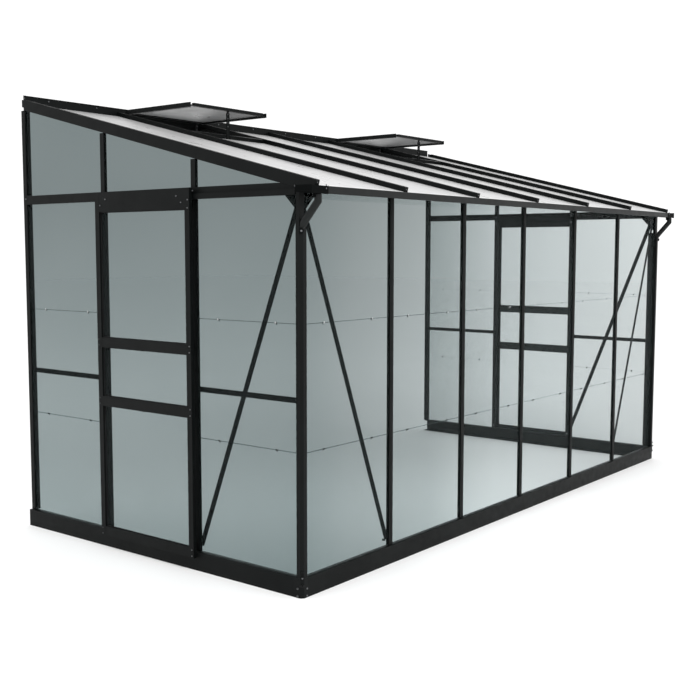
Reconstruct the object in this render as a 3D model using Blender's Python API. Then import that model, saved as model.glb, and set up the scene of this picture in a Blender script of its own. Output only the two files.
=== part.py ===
"""Lean-to greenhouse with six bays along the wall, three bays out from it, two sliding doors and two roof vents.

Metres. X runs along the wall, the eaves face -Y, the wall side faces +Y, and the ground is Z = 0.
"""

import math

import bmesh
import bpy
from mathutils import Matrix, Vector

# Main sizes
BAY = 0.622
BAYS_LONG = 6
BAYS_DEEP = 3
HALF_LENGTH = BAY * BAYS_LONG / 2
GUTTER_REACH = 0.110
WALL_REACH = 1.895
FRONT_Y = (GUTTER_REACH - WALL_REACH) / 2
GAP = 0.0003

# Base rails: channels that lie open to the inside
BASE_HEIGHT = 0.085
BASE_SKIN = 0.003
BASE_DEPTH = 0.050
BASE_OUT_FRONT = 0.021
BASE_OUT_GABLE = 0.0245

# Glazing bars and glass
BAR_WIDTH = 0.028
BAR_OUT = 0.009
BAR_IN = 0.008
WEB_WIDTH = 0.0114
GLASS = 0.003
SLOT = GLASS + 2 * GAP

# Roof: top line of the rafter caps above the front bar plane, and its rise per metre
ROOF_TOP = 1.7545
ROOF_RISE = 0.2485
SLOPE = math.atan(ROOF_RISE)
CAP_HEIGHT = 0.0215
PANEL = 0.006
RAFTER_HEIGHT = 0.051
RAFTER_WIDTH = 0.028
RAFTER_TAIL = 0.087
PANEL_TAIL = 0.085
CAP_WEB = 0.004

# Ridge beam at the wall
RIDGE_THICK = 0.020
RIDGE_BACK = WALL_REACH
RIDGE_FRONT = RIDGE_BACK - RIDGE_THICK
RIDGE_ABOVE_CAPS = 0.0201
RIDGE_TOP = ROOF_TOP + ROOF_RISE * RIDGE_FRONT + RIDGE_ABOVE_CAPS
RIDGE_DEPTH = 0.0725
RIDGE_BOTTOM = RIDGE_TOP - RIDGE_DEPTH
RIDGE_INSET = 0.0148
PANEL_TO_RIDGE = 0.009

# Eaves beam, which the rafters' feet just clear
EAVES_CLEAR = 0.001
EAVES_TOP = ROOF_TOP - ROOF_RISE * BASE_OUT_FRONT - RAFTER_HEIGHT / math.cos(SLOPE) - EAVES_CLEAR
EAVES_HEIGHT = 0.007
EAVES_BOTTOM = EAVES_TOP - EAVES_HEIGHT
EAVES_BACK = 0.014
UPSTAND = 0.027

# Gutter with its outlet pieces, and the downpipes
GUTTER_BACK = 0.0215
GUTTER_SKIN = 0.0025
GUTTER_BOTTOM = EAVES_TOP - 0.010
GUTTER_FLOOR_FRONT = GUTTER_BOTTOM - 0.0065
GUTTER_TOP = EAVES_TOP + 0.014
LIP_RADIUS = 0.0035
OUTLET_END = 0.064
OUTLET_LENGTH = 0.105
OUTLET_SKIN = 0.002
PIPE_RADIUS = 0.0155
PIPE_OUT = 0.010
PIPE_FORWARD = 0.091
PIPE_BEND_DROP = 0.0375
PIPE_FOOT_DROP = 0.1155
PIPE_SIDES = 20
COLLAR_DROP = 0.004

# Gable frames
GIRT_BOTTOM = EAVES_TOP - 0.011
GIRT_TOP = GIRT_BOTTOM + 0.044
GIRT_OUT = 0.0125
GIRT_IN = 0.008
TRACK_OUT = 0.0265
TRACK_BOTTOM = GIRT_BOTTOM - 0.009
TRACK_TOP = TRACK_BOTTOM + 0.024
MID_RAIL_BOTTOM = 0.818
MID_RAIL_TOP = 0.842
WALL_POST_BACK = RIDGE_FRONT + 0.006
WALL_POST_FRONT = WALL_POST_BACK - 0.028
WALL_POST_IN = 0.023
GABLE_RAFTER_OUT = 0.012
GABLE_RAFTER_END = RIDGE_FRONT - 0.032

# Sliding doors, which hang from the track by their header
DOOR_OUT = 0.048
DOOR_IN = 0.031
DOOR_FRONT = 0.607
DOOR_BACK = 1.2555
DOOR_STILE = 0.030
DOOR_BOTTOM = 0.062
HEADER_BELOW_TRACK = 0.0446
HEADER_ABOVE_TRACK = 0.0246
HEADER_LOW = TRACK_BOTTOM - HEADER_BELOW_TRACK
HEADER_HIGH = TRACK_TOP + HEADER_ABOVE_TRACK
DOOR_RAILS = ((DOOR_BOTTOM, 0.109), (0.7036, 0.7512), (0.988, 1.0347), (HEADER_LOW, HEADER_HIGH))
DOOR_TRAVEL = 0.600
ROLLER_RADIUS = 0.009
ROLLER_INSET = 0.060

# Roof vents, held open
VENT_BAYS = (1, 4)
VENT_HALF = 0.2962
VENT_HINGE = RIDGE_FRONT - 0.039
VENT_CLEAR = 0.0015
VENT_HINGE_Z = ROOF_TOP + ROOF_RISE * VENT_HINGE + VENT_CLEAR
VENT_LENGTH = 0.520
VENT_TILT = math.radians(0.1)
VENT_FRAME = 0.017
VENT_SIDE_LOW = -0.006
VENT_SIDE_HIGH = 0.019
VENT_SIDE_SKIN = 0.004
VENT_RAIL = 0.020
VENT_FREE_NOTCH = 0.030
VENT_PANEL_LOW = 0.004
VENT_PANEL_INTO = 0.004
SILL_HIGH = -0.002
SILL_LOW = -0.046
SILL_FRONT = VENT_HINGE - VENT_LENGTH * math.cos(SLOPE)
SILL_BACK = SILL_FRONT + 0.025
PANEL_TO_SILL = 0.009

# Corners and braces
CORNER_BLOCK_REACH = 0.012
CHAMFER = 0.012
CLADDING_TOP = GUTTER_FLOOR_FRONT - 0.1295
GUSSET_GABLE = 0.100
GUSSET_FRONT = 0.103
GUSSET_SKIN = 0.003
BRACE_WIDTH = 0.025
BRACE_SKIN = 0.003
BRACE_TOP_IN = 0.024
BRACE_TOP_DROP = 0.040
FRONT_BRACE_DROP = 0.061
BRACE_FOOT_IN = BAY - 0.011
BRACE_FOOT_RISE = 0.027
STAY_WIDTH = 0.014
STAY_SKIN = 0.004

scene = bpy.context.scene
for old in list(bpy.data.objects):
    bpy.data.objects.remove(old)

greenhouse = bpy.data.collections.new("greenhouse")
scene.collection.children.link(greenhouse)
helpers = bpy.data.collections.new("helpers")
scene.collection.children.link(helpers)


def material(name, colour, roughness, metallic=0.0, alpha=1.0):
    made = bpy.data.materials.new(name)
    made.use_nodes = True
    shader = made.node_tree.nodes["Principled BSDF"]
    shader.inputs["Base Color"].default_value = (*colour, 1.0)
    shader.inputs["Roughness"].default_value = roughness
    shader.inputs["Metallic"].default_value = metallic
    shader.inputs["Alpha"].default_value = alpha
    return made


COLOURS = {
    "frame": ((0.025, 0.028, 0.027), 0.45, 0.0, 1.0),
    "gutter": ((0.030, 0.033, 0.032), 0.40, 0.0, 1.0),
    "glass": ((0.62, 0.70, 0.70), 0.05, 0.0, 0.35),
    "panel": ((0.80, 0.82, 0.82), 0.35, 0.0, 0.9),
}


def finish(piece, look):
    """Gives a piece a material of its own and its place in the collection."""
    piece.data.materials.clear()
    piece.data.materials.append(material(piece.name + "_" + look, *COLOURS[look]))
    return piece


def from_bmesh(name, shape, look, collection=greenhouse):
    bmesh.ops.recalc_face_normals(shape, faces=shape.faces)
    mesh = bpy.data.meshes.new(name)
    shape.to_mesh(mesh)
    shape.free()
    piece = bpy.data.objects.new(name, mesh)
    collection.objects.link(piece)
    return finish(piece, look)


def box(name, xs, ys, zs, look="frame", collection=greenhouse):
    """A box from three ranges in metres."""
    low = Vector((min(xs), min(ys), min(zs)))
    high = Vector((max(xs), max(ys), max(zs)))
    size = high - low
    shape = bmesh.new()
    place = Matrix.Translation((low + high) / 2) @ Matrix.Diagonal((*size, 1))
    bmesh.ops.create_cube(shape, size=1.0, matrix=place)
    return from_bmesh(name, shape, look, collection)


def extruded(name, outline, place, length, look="frame", collection=greenhouse):
    """A flat outline in the place's XY, extruded along its Z from 0 to length."""
    curve = bpy.data.curves.new(name, "CURVE")
    curve.dimensions = "2D"
    curve.fill_mode = "BOTH"
    curve.extrude = length / 2
    line = curve.splines.new("POLY")
    line.points.add(len(outline) - 1)
    for point, (a, b) in zip(line.points, outline):
        point.co = (a, b, 0, 1)
    line.use_cyclic_u = True
    holder = bpy.data.objects.new(name + "_outline", curve)
    helpers.objects.link(holder)
    bpy.context.view_layer.update()
    graph = bpy.context.evaluated_depsgraph_get()
    mesh = bpy.data.meshes.new_from_object(holder.evaluated_get(graph))
    bpy.data.objects.remove(holder)
    shape = bmesh.new()
    shape.from_mesh(mesh)
    bmesh.ops.remove_doubles(shape, verts=shape.verts, dist=0.00001)
    bmesh.ops.transform(shape, matrix=place @ Matrix.Translation((0, 0, length / 2)), verts=shape.verts)
    return from_bmesh(name, shape, look, collection)


def axes(x_axis, y_axis, z_axis, origin):
    """The matrix with these three directions as its columns."""
    place = Matrix((x_axis, y_axis, z_axis)).transposed().to_4x4()
    place.translation = Vector(origin)
    return place


def side_outline(name, outline, x_low, x_high, look="frame", collection=greenhouse):
    """An outline of (distance behind the front bar plane, height), extruded along X."""
    place = axes((0, 1, 0), (0, 0, 1), (1, 0, 0), (x_low, FRONT_Y, 0))
    return extruded(name, outline, place, x_high - x_low, look, collection)


def fused(target, others, operation="UNION"):
    """Joins hidden solids to the target, or cuts them from it, with one exact Boolean."""
    group = bpy.data.collections.new(target.name + "_joined")
    helpers.children.link(group)
    for other in others:
        other.hide_render = True
        other.display_type = "WIRE"
        helpers.objects.unlink(other)
        group.objects.link(other)
    joint = target.modifiers.new("joined", "BOOLEAN")
    joint.operation = operation
    joint.solver = "EXACT"
    joint.operand_type = "COLLECTION"
    joint.collection = group
    return target


def out_x(side, out):
    """X of a plane that lies this far outside the gable's bar plane, on side -1 or 1."""
    return side * (HALF_LENGTH + out)


def back_y(distance):
    return FRONT_Y + distance


def roof_z(distance):
    return ROOF_TOP + ROOF_RISE * distance


SIDES = ((-1, "left"), (1, "right"))

# Base rails
extruded(
    "base_rail_front",
    (
        (-BASE_OUT_FRONT, 0),
        (BASE_DEPTH - BASE_OUT_FRONT, 0),
        (BASE_DEPTH - BASE_OUT_FRONT, BASE_SKIN),
        (BASE_SKIN - BASE_OUT_FRONT, BASE_SKIN),
        (BASE_SKIN - BASE_OUT_FRONT, BASE_HEIGHT - BASE_SKIN),
        (BASE_DEPTH - BASE_OUT_FRONT, BASE_HEIGHT - BASE_SKIN),
        (BASE_DEPTH - BASE_OUT_FRONT, BASE_HEIGHT),
        (-BASE_OUT_FRONT, BASE_HEIGHT),
    ),
    axes((0, 1, 0), (0, 0, 1), (1, 0, 0), (-HALF_LENGTH + CORNER_BLOCK_REACH + GAP, FRONT_Y, 0)),
    2 * (HALF_LENGTH - CORNER_BLOCK_REACH - GAP),
)
for side, word in SIDES:
    start = back_y(BASE_DEPTH - BASE_OUT_FRONT + GAP)
    section = (
        (BASE_OUT_GABLE, 0),
        (BASE_OUT_GABLE, BASE_HEIGHT),
        (BASE_OUT_GABLE - BASE_DEPTH, BASE_HEIGHT),
        (BASE_OUT_GABLE - BASE_DEPTH, BASE_HEIGHT - BASE_SKIN),
        (BASE_OUT_GABLE - BASE_SKIN, BASE_HEIGHT - BASE_SKIN),
        (BASE_OUT_GABLE - BASE_SKIN, BASE_SKIN),
        (BASE_OUT_GABLE - BASE_DEPTH, BASE_SKIN),
        (BASE_OUT_GABLE - BASE_DEPTH, 0),
    )
    extruded(
        f"base_rail_{word}",
        [(side * a, b) for a, b in section],
        axes((1, 0, 0), (0, 0, 1), (0, 1, 0), (out_x(side, 0), start, 0)),
        back_y(WALL_POST_BACK) - start,
    )

# Cast corner blocks that join the base rails: a chamfered shell with a top plate for the post
for side, word in SIDES:
    wall = 2 * BASE_SKIN
    shell = (
        (BASE_OUT_GABLE, -BASE_OUT_FRONT + CHAMFER),
        (BASE_OUT_GABLE, BASE_DEPTH - BASE_OUT_FRONT),
        (BASE_OUT_GABLE - wall, BASE_DEPTH - BASE_OUT_FRONT),
        (BASE_OUT_GABLE - wall, -BASE_OUT_FRONT + CHAMFER + wall / 2),
        (BASE_OUT_GABLE - CHAMFER - wall / 2, -BASE_OUT_FRONT + wall),
        (-CORNER_BLOCK_REACH, -BASE_OUT_FRONT + wall),
        (-CORNER_BLOCK_REACH, -BASE_OUT_FRONT),
        (BASE_OUT_GABLE - CHAMFER, -BASE_OUT_FRONT),
    )
    plate = (
        (BASE_OUT_GABLE - BASE_SKIN, -BASE_OUT_FRONT + CHAMFER),
        (BASE_OUT_GABLE - BASE_SKIN, BASE_DEPTH - BASE_OUT_FRONT - GAP),
        (-CORNER_BLOCK_REACH + GAP, BASE_DEPTH - BASE_OUT_FRONT - GAP),
        (-CORNER_BLOCK_REACH + GAP, -BASE_OUT_FRONT + BASE_SKIN),
        (BASE_OUT_GABLE - CHAMFER, -BASE_OUT_FRONT + BASE_SKIN),
    )
    flat = axes((1, 0, 0), (0, 1, 0), (0, 0, 1), (out_x(side, 0), FRONT_Y, 0))
    block = extruded(f"corner_block_{word}", [(side * a, b) for a, b in shell], flat, BASE_HEIGHT)
    top = extruded(
        f"corner_block_top_{word}",
        [(side * a, b) for a, b in plate],
        flat @ Matrix.Translation((0, 0, BASE_HEIGHT - wall)),
        wall - GAP,
        collection=helpers,
    )
    fused(block, (top,))

# Corner posts: cladding that stops under the downpipe's foot, and two gusset plates
POST_FOOT = BASE_HEIGHT + GAP
POST_TOP = EAVES_TOP
for side, word in SIDES:
    flat = axes((1, 0, 0), (0, 1, 0), (0, 0, 1), (out_x(side, 0), FRONT_Y, POST_FOOT))
    core = (
        (BASE_OUT_GABLE, -BAR_OUT),
        (BASE_OUT_GABLE, BAR_IN),
        (-BAR_IN, BAR_IN),
        (-BAR_IN, -BAR_OUT),
    )
    post = extruded(f"corner_post_{word}", [(side * a, b) for a, b in core], flat, POST_TOP - POST_FOOT)
    edge = BASE_OUT_GABLE - GAP
    cladding = (
        (edge, -BAR_OUT + GAP),
        (edge, -BASE_OUT_FRONT + CHAMFER),
        (edge - CHAMFER, -BASE_OUT_FRONT),
        (-BAR_IN + GAP, -BASE_OUT_FRONT),
        (-BAR_IN + GAP, -BAR_OUT + GAP),
    )
    clad = extruded(
        f"corner_cladding_{word}",
        [(side * a, b) for a, b in cladding],
        flat @ Matrix.Translation((0, 0, GAP)),
        CLADDING_TOP - POST_FOOT - GAP,
        collection=helpers,
    )
    gable_top = GIRT_BOTTOM - GAP
    gable_gusset = side_outline(
        f"gusset_gable_{word}",
        ((0.0, gable_top), (GUSSET_GABLE, gable_top), (0.0, gable_top - GUSSET_GABLE)),
        *sorted((out_x(side, -BAR_IN), out_x(side, -BAR_IN + GUSSET_SKIN))),
        collection=helpers,
    )
    front_top = EAVES_BOTTOM - GAP
    front_gusset = extruded(
        f"gusset_front_{word}",
        [(-side * a, b) for a, b in ((0.0, front_top), (GUSSET_FRONT, front_top), (0.0, front_top - GUSSET_FRONT))],
        axes((1, 0, 0), (0, 0, 1), (0, 1, 0), (out_x(side, 0), back_y(BAR_IN - GUSSET_SKIN), 0)),
        GUSSET_SKIN,
        collection=helpers,
    )
    fused(post, (clad, gable_gusset, front_gusset))

# Wall posts
for side, word in SIDES:
    box(
        f"wall_post_{word}",
        (out_x(side, BAR_OUT), out_x(side, -WALL_POST_IN)),
        (back_y(WALL_POST_FRONT), back_y(WALL_POST_BACK)),
        (POST_FOOT, roof_z(WALL_POST_FRONT) - RAFTER_HEIGHT / math.cos(SLOPE) - GAP),
    )


def bar_outline(sign=1):
    """Section of a glazing bar: across, and outward times the sign. The slots at its sides hold the glass."""
    wide = BAR_WIDTH / 2
    web = WEB_WIDTH / 2
    slot = SLOT / 2
    points = (
        (-wide, -BAR_IN),
        (wide, -BAR_IN),
        (wide, -slot),
        (web, -slot),
        (web, slot),
        (wide, slot),
        (wide, BAR_OUT),
        (-wide, BAR_OUT),
        (-wide, slot),
        (-web, slot),
        (-web, -slot),
        (-wide, -slot),
    )
    return [(a, sign * b) for a, b in points]


def roof_under(distance, depth):
    """Height of a plane that lies this deep under the cap line, measured across the slope."""
    return roof_z(distance) - depth / math.cos(SLOPE)


# Front bars and the eaves beam that carries their heads, with an upstand under each roof panel
eaves = box(
    "front_bars",
    (out_x(-1, -BAR_IN - GAP), out_x(1, -BAR_IN - GAP)),
    (back_y(-BASE_OUT_FRONT), back_y(EAVES_BACK)),
    (EAVES_BOTTOM, EAVES_TOP),
)
bars = []
for n in range(1, BAYS_LONG):
    bars.append(
        extruded(
            f"front_bar_{n}",
            bar_outline(-1),
            axes((1, 0, 0), (0, 1, 0), (0, 0, 1), (-HALF_LENGTH + n * BAY, FRONT_Y, POST_FOOT)),
            EAVES_BOTTOM + EAVES_HEIGHT / 3 - POST_FOOT,
            collection=helpers,
        )
    )
upstand_front = -BASE_OUT_FRONT + GAP
upstand_back = upstand_front + UPSTAND
panel_low = CAP_HEIGHT + PANEL + 2 * GAP
for n in range(BAYS_LONG):
    bars.append(
        side_outline(
            f"upstand_{n}",
            (
                (upstand_front, EAVES_TOP - EAVES_HEIGHT / 2),
                (upstand_back, EAVES_TOP - EAVES_HEIGHT / 2),
                (upstand_back, roof_under(upstand_back, panel_low)),
                (upstand_front, roof_under(upstand_front, panel_low)),
            ),
            -HALF_LENGTH + n * BAY + RAFTER_WIDTH / 2 + 2 * GAP,
            -HALF_LENGTH + (n + 1) * BAY - RAFTER_WIDTH / 2 - 2 * GAP,
            collection=helpers,
        )
    )
fused(eaves, bars)

# Gutter: an open trough with a rolled front lip
GUTTER_FRONT = -GUTTER_REACH + OUTLET_SKIN + GAP
lip_centre = (GUTTER_FRONT + LIP_RADIUS, GUTTER_TOP - LIP_RADIUS)
lip = []
for step in range(9):
    turn = math.radians(180 - 30 * step)
    lip.append((lip_centre[0] + LIP_RADIUS * math.cos(turn), lip_centre[1] + LIP_RADIUS * math.sin(turn)))
gutter_back_top = EAVES_TOP - 2 * GUTTER_SKIN
trough = [
    (-GUTTER_BACK, GUTTER_BOTTOM),
    (-GUTTER_BACK, gutter_back_top),
    (-GUTTER_BACK - GUTTER_SKIN, gutter_back_top),
    (-GUTTER_BACK - GUTTER_SKIN, GUTTER_BOTTOM + GUTTER_SKIN),
    (GUTTER_FRONT + GUTTER_SKIN, GUTTER_FLOOR_FRONT + GUTTER_SKIN),
    (GUTTER_FRONT + GUTTER_SKIN, lip[-1][1] - LIP_RADIUS / 2),
]
side_outline(
    "gutter",
    trough + lip[::-1] + [(GUTTER_FRONT, GUTTER_FLOOR_FRONT)],
    out_x(-1, OUTLET_END - OUTLET_SKIN - GAP),
    out_x(1, OUTLET_END - OUTLET_SKIN - GAP),
    "gutter",
)

def gutter_floor(distance):
    """Height of the gutter's underside, which falls towards its outlet at the front."""
    share = (-GUTTER_BACK - distance) / (-GUTTER_BACK - GUTTER_FRONT)
    return GUTTER_BOTTOM + share * (GUTTER_FLOOR_FRONT - GUTTER_BOTTOM)


# Outlet pieces: sleeves round the gutter's ends that close them and take the downpipes
for side, word in SIDES:
    under = GAP + OUTLET_SKIN
    sleeve = side_outline(
        f"gutter_outlet_{word}",
        (
            (-GUTTER_BACK, GUTTER_BOTTOM - GAP),
            (-GUTTER_BACK, GUTTER_BOTTOM - under),
            (-GUTTER_REACH, GUTTER_FLOOR_FRONT - under),
            (-GUTTER_REACH, GUTTER_TOP),
            (-GUTTER_REACH + OUTLET_SKIN, GUTTER_TOP),
            (-GUTTER_REACH + OUTLET_SKIN, GUTTER_FLOOR_FRONT - GAP),
        ),
        *sorted((out_x(side, OUTLET_END - OUTLET_LENGTH), out_x(side, OUTLET_END))),
        "gutter",
    )
    end_wall = side_outline(
        f"gutter_outlet_end_{word}",
        (
            (-GUTTER_BACK - GAP, GUTTER_BOTTOM - GAP - OUTLET_SKIN / 2),
            (-GUTTER_BACK - GAP, GUTTER_TOP + OUTLET_SKIN),
            (-GUTTER_REACH + OUTLET_SKIN / 2, GUTTER_TOP + OUTLET_SKIN),
            (-GUTTER_REACH + OUTLET_SKIN / 2, GUTTER_FLOOR_FRONT - GAP - OUTLET_SKIN / 2),
        ),
        *sorted((out_x(side, OUTLET_END - GAP), out_x(side, OUTLET_END - OUTLET_SKIN))),
        "gutter",
        helpers,
    )
    collar_low = GUTTER_FLOOR_FRONT - under - COLLAR_DROP
    collar = extruded(
        f"gutter_outlet_collar_{word}",
        [
            (
                (PIPE_RADIUS + OUTLET_SKIN) * math.cos(2 * math.pi * step / PIPE_SIDES),
                (PIPE_RADIUS + OUTLET_SKIN) * math.sin(2 * math.pi * step / PIPE_SIDES),
            )
            for step in range(PIPE_SIDES)
        ],
        Matrix.Translation((out_x(side, PIPE_OUT), back_y(-PIPE_FORWARD), collar_low)),
        COLLAR_DROP,
        "gutter",
        helpers,
    )
    for corner in collar.data.vertices:
        if corner.co.z > collar_low + COLLAR_DROP / 2:
            corner.co.z = gutter_floor(corner.co.y - FRONT_Y) - GAP - OUTLET_SKIN / 2
    fused(sleeve, (end_wall, collar))

# Downpipes: a smooth bend under the outlet, then back to the corner post, cut to its faces
for side, word in SIDES:
    pipe_x = out_x(side, PIPE_OUT)
    top = Vector((-PIPE_FORWARD, GUTTER_FLOOR_FRONT - under - COLLAR_DROP - GAP))
    bend = Vector((-PIPE_FORWARD, GUTTER_FLOOR_FRONT - PIPE_BEND_DROP))
    foot = Vector((-BASE_OUT_FRONT, GUTTER_FLOOR_FRONT - PIPE_FOOT_DROP))
    down = Vector((0, -1))
    along = (foot - bend).normalized()
    reach = PIPE_RADIUS * 0.9
    path = [top]
    for step in range(9):
        share = step / 8
        a = bend - down * reach
        b = bend + along * reach
        path.append(a * (1 - share) ** 2 + bend * 2 * share * (1 - share) + b * share**2)
    path.append(foot + along * 2 * PIPE_RADIUS)
    curve = bpy.data.curves.new(f"downpipe_line_{word}", "CURVE")
    curve.dimensions = "3D"
    curve.bevel_depth = PIPE_RADIUS
    curve.bevel_resolution = 4
    curve.use_fill_caps = True
    line = curve.splines.new("POLY")
    line.points.add(len(path) - 1)
    for point, place in zip(line.points, path):
        point.co = (pipe_x, back_y(place.x), place.y, 1)
    holder = bpy.data.objects.new(f"downpipe_path_{word}", curve)
    helpers.objects.link(holder)
    bpy.context.view_layer.update()
    mesh = bpy.data.meshes.new_from_object(holder.evaluated_get(bpy.context.evaluated_depsgraph_get()))
    bpy.data.objects.remove(holder)
    shape = bmesh.new()
    shape.from_mesh(mesh)
    bmesh.ops.remove_doubles(shape, verts=shape.verts, dist=0.00001)
    pipe = from_bmesh(f"downpipe_{word}", shape, "gutter")
    wide = 3 * PIPE_RADIUS
    cutters = (
        box(
            f"pipe_cut_core_{word}",
            (pipe_x - wide, pipe_x + wide),
            (back_y(-BAR_OUT - GAP), back_y(BAR_OUT + wide)),
            (foot.y - 2 * wide, foot.y + 2 * wide),
            collection=helpers,
        ),
        box(
            f"pipe_cut_cladding_{word}",
            (pipe_x - wide, pipe_x + wide),
            (back_y(-BASE_OUT_FRONT - GAP), back_y(BAR_OUT)),
            (foot.y - 2 * wide, CLADDING_TOP + GAP),
            collection=helpers,
        ),
    )
    fused(pipe, cutters, "DIFFERENCE")


def sloped(name, outline, x, start, end, height_drop=0.0, look="frame", collection=greenhouse):
    """A section of (across, height above the cap line), run up the roof slope between two distances."""
    run = Vector((0, math.cos(SLOPE), math.sin(SLOPE)))
    up = Vector((0, -math.sin(SLOPE), math.cos(SLOPE)))
    origin = (x, back_y(start), roof_z(start) - height_drop)
    length = (end - start) / math.cos(SLOPE)
    flipped = [(-a, b) for a, b in outline]
    return extruded(name, flipped, axes((-1, 0, 0), up, run, origin), length, look, collection)


def cap_outline(left, right, web_left, web_right):
    """Cap that stands over the panels' edges, and the web that passes between them."""
    return (
        (left, 0),
        (left, -CAP_HEIGHT),
        (web_left, -CAP_HEIGHT),
        (web_left, -CAP_HEIGHT - PANEL - CAP_WEB),
        (web_right, -CAP_HEIGHT - PANEL - CAP_WEB),
        (web_right, -CAP_HEIGHT),
        (right, -CAP_HEIGHT),
        (right, 0),
    )


def lower_outline(left, right):
    top = -CAP_HEIGHT - PANEL - 2 * GAP
    return ((left, top), (left, -RAFTER_HEIGHT), (right, -RAFTER_HEIGHT), (right, top))


# Ridge beam and the inner rafters that it carries
ridge = box(
    "roof_bars",
    (out_x(-1, -RIDGE_INSET), out_x(1, -RIDGE_INSET)),
    (back_y(RIDGE_FRONT), back_y(RIDGE_BACK)),
    (RIDGE_BOTTOM, RIDGE_TOP),
)
half = RAFTER_WIDTH / 2
web = WEB_WIDTH / 2
INTO_RIDGE = RIDGE_FRONT + 0.3 * RIDGE_THICK
FOOT_START = -BASE_OUT_FRONT - RAFTER_HEIGHT * math.sin(SLOPE)
rafters = []
for n in range(1, BAYS_LONG):
    x = -HALF_LENGTH + n * BAY
    cap = cap_outline(-half, half, -web, web)
    rafters.append(sloped(f"rafter_cap_{n}", cap, x, -RAFTER_TAIL, INTO_RIDGE, collection=helpers))
    foot = lower_outline(-half, half)
    rafters.append(sloped(f"rafter_foot_{n}", foot, x, FOOT_START, INTO_RIDGE, collection=helpers))
fused(ridge, rafters)

# Gable rafters, grooved on their inner side only
for side, word in SIDES:
    x = out_x(side, 0)
    inner = -side * half
    outer = side * GABLE_RAFTER_OUT
    groove = -side * web
    profile = [
        (outer, 0),
        (inner, 0),
        (inner, -CAP_HEIGHT),
        (groove, -CAP_HEIGHT),
        (groove, -CAP_HEIGHT - PANEL - CAP_WEB),
        (outer, -CAP_HEIGHT - PANEL - CAP_WEB),
    ]
    cap = sloped(f"gable_rafter_{word}", profile, x, -RAFTER_TAIL, GABLE_RAFTER_END)
    under_cap = lower_outline(inner, outer)
    foot = sloped(f"gable_rafter_foot_{word}", under_cap, x, FOOT_START, GABLE_RAFTER_END, collection=helpers)
    fused(cap, (foot,))


def rafter_under(distance):
    """Height of the rafters' underside."""
    return roof_under(distance, RAFTER_HEIGHT)


def clear_from(height):
    """Distance behind the front bars at which the rafters' underside has risen to this height."""
    return (height + RAFTER_HEIGHT / math.cos(SLOPE) - ROOF_TOP) / ROOF_RISE


# Gable frames: two bars, the girt over them, its door track and the two short rails
for side, word in SIDES:
    girt = side_outline(
        f"gable_frame_{word}",
        (
            (BAR_IN + GAP, GIRT_BOTTOM),
            (WALL_POST_FRONT - GAP, GIRT_BOTTOM),
            (WALL_POST_FRONT - GAP, GIRT_TOP),
            (clear_from(GIRT_TOP + 2 * GAP), GIRT_TOP),
            (BAR_IN + GAP, rafter_under(BAR_IN) - 2 * GAP),
        ),
        *sorted((out_x(side, GIRT_OUT), out_x(side, -GIRT_IN))),
    )
    joined = [
        box(
            f"door_track_{word}",
            (out_x(side, TRACK_OUT), out_x(side, GIRT_OUT - 0.004)),
            (back_y(0.012), back_y(DOOR_BACK + 0.004)),
            (TRACK_BOTTOM, TRACK_TOP),
            collection=helpers,
        )
    ]
    for n in range(1, BAYS_DEEP):
        centre = n * BAY
        joined.append(
            extruded(
                f"gable_bar_{word}_{n}",
                [(a, b) for a, b in bar_outline(side)],
                axes((0, 1, 0), (1, 0, 0), (0, 0, 1), (out_x(side, 0), back_y(centre), POST_FOOT)),
                GIRT_BOTTOM + 0.008 - POST_FOOT,
                collection=helpers,
            )
        )
        low = centre - BAR_WIDTH / 2
        high = centre + BAR_WIDTH / 2
        for part, first, last in (("outer", SLOT / 2, BAR_OUT), ("inner", -BAR_IN, -SLOT / 2)):
            joined.append(
                side_outline(
                    f"upper_bar_{part}_{word}_{n}",
                    (
                        (low, GIRT_TOP - 0.006),
                        (high, GIRT_TOP - 0.006),
                        (high, rafter_under(low) - 2 * GAP),
                        (low, rafter_under(low) - 2 * GAP),
                    ),
                    *sorted((out_x(side, first), out_x(side, last))),
                    collection=helpers,
                )
            )
    for n, (low, high) in enumerate(((BAR_IN + GAP, BAY - 0.010), (2 * BAY + 0.010, WALL_POST_FRONT - GAP))):
        joined.append(
            box(
                f"short_rail_{word}_{n}",
                (out_x(side, -BAR_IN), out_x(side, -SLOT / 2 - GAP)),
                (back_y(low), back_y(high)),
                (MID_RAIL_BOTTOM, MID_RAIL_TOP),
                collection=helpers,
            )
        )
    fused(girt, joined)

# Braces: flat bars from the corner gussets to the feet of the next bars
def brace_outline(top, foot):
    run = Vector(foot) - Vector(top)
    across = Vector((-run.y, run.x)).normalized() * BRACE_WIDTH / 2
    top = Vector(top)
    foot = Vector(foot)
    return [tuple(p) for p in (top - across, top + across, foot + across, foot - across)]


brace_foot = (BRACE_FOOT_IN, BASE_HEIGHT + BRACE_FOOT_RISE)
for side, word in SIDES:
    side_outline(
        f"gable_brace_{word}",
        brace_outline((BRACE_TOP_IN, GIRT_BOTTOM - BRACE_TOP_DROP), brace_foot),
        *sorted((out_x(side, -BAR_IN - GAP), out_x(side, -BAR_IN - GAP - BRACE_SKIN))),
    )
    extruded(
        f"front_brace_{word}",
        [(-side * a, b) for a, b in brace_outline((BRACE_TOP_IN, EAVES_BOTTOM - FRONT_BRACE_DROP), brace_foot)],
        axes((1, 0, 0), (0, 0, 1), (0, 1, 0), (out_x(side, 0), back_y(BAR_IN + GAP), 0)),
        BRACE_SKIN,
    )

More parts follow.
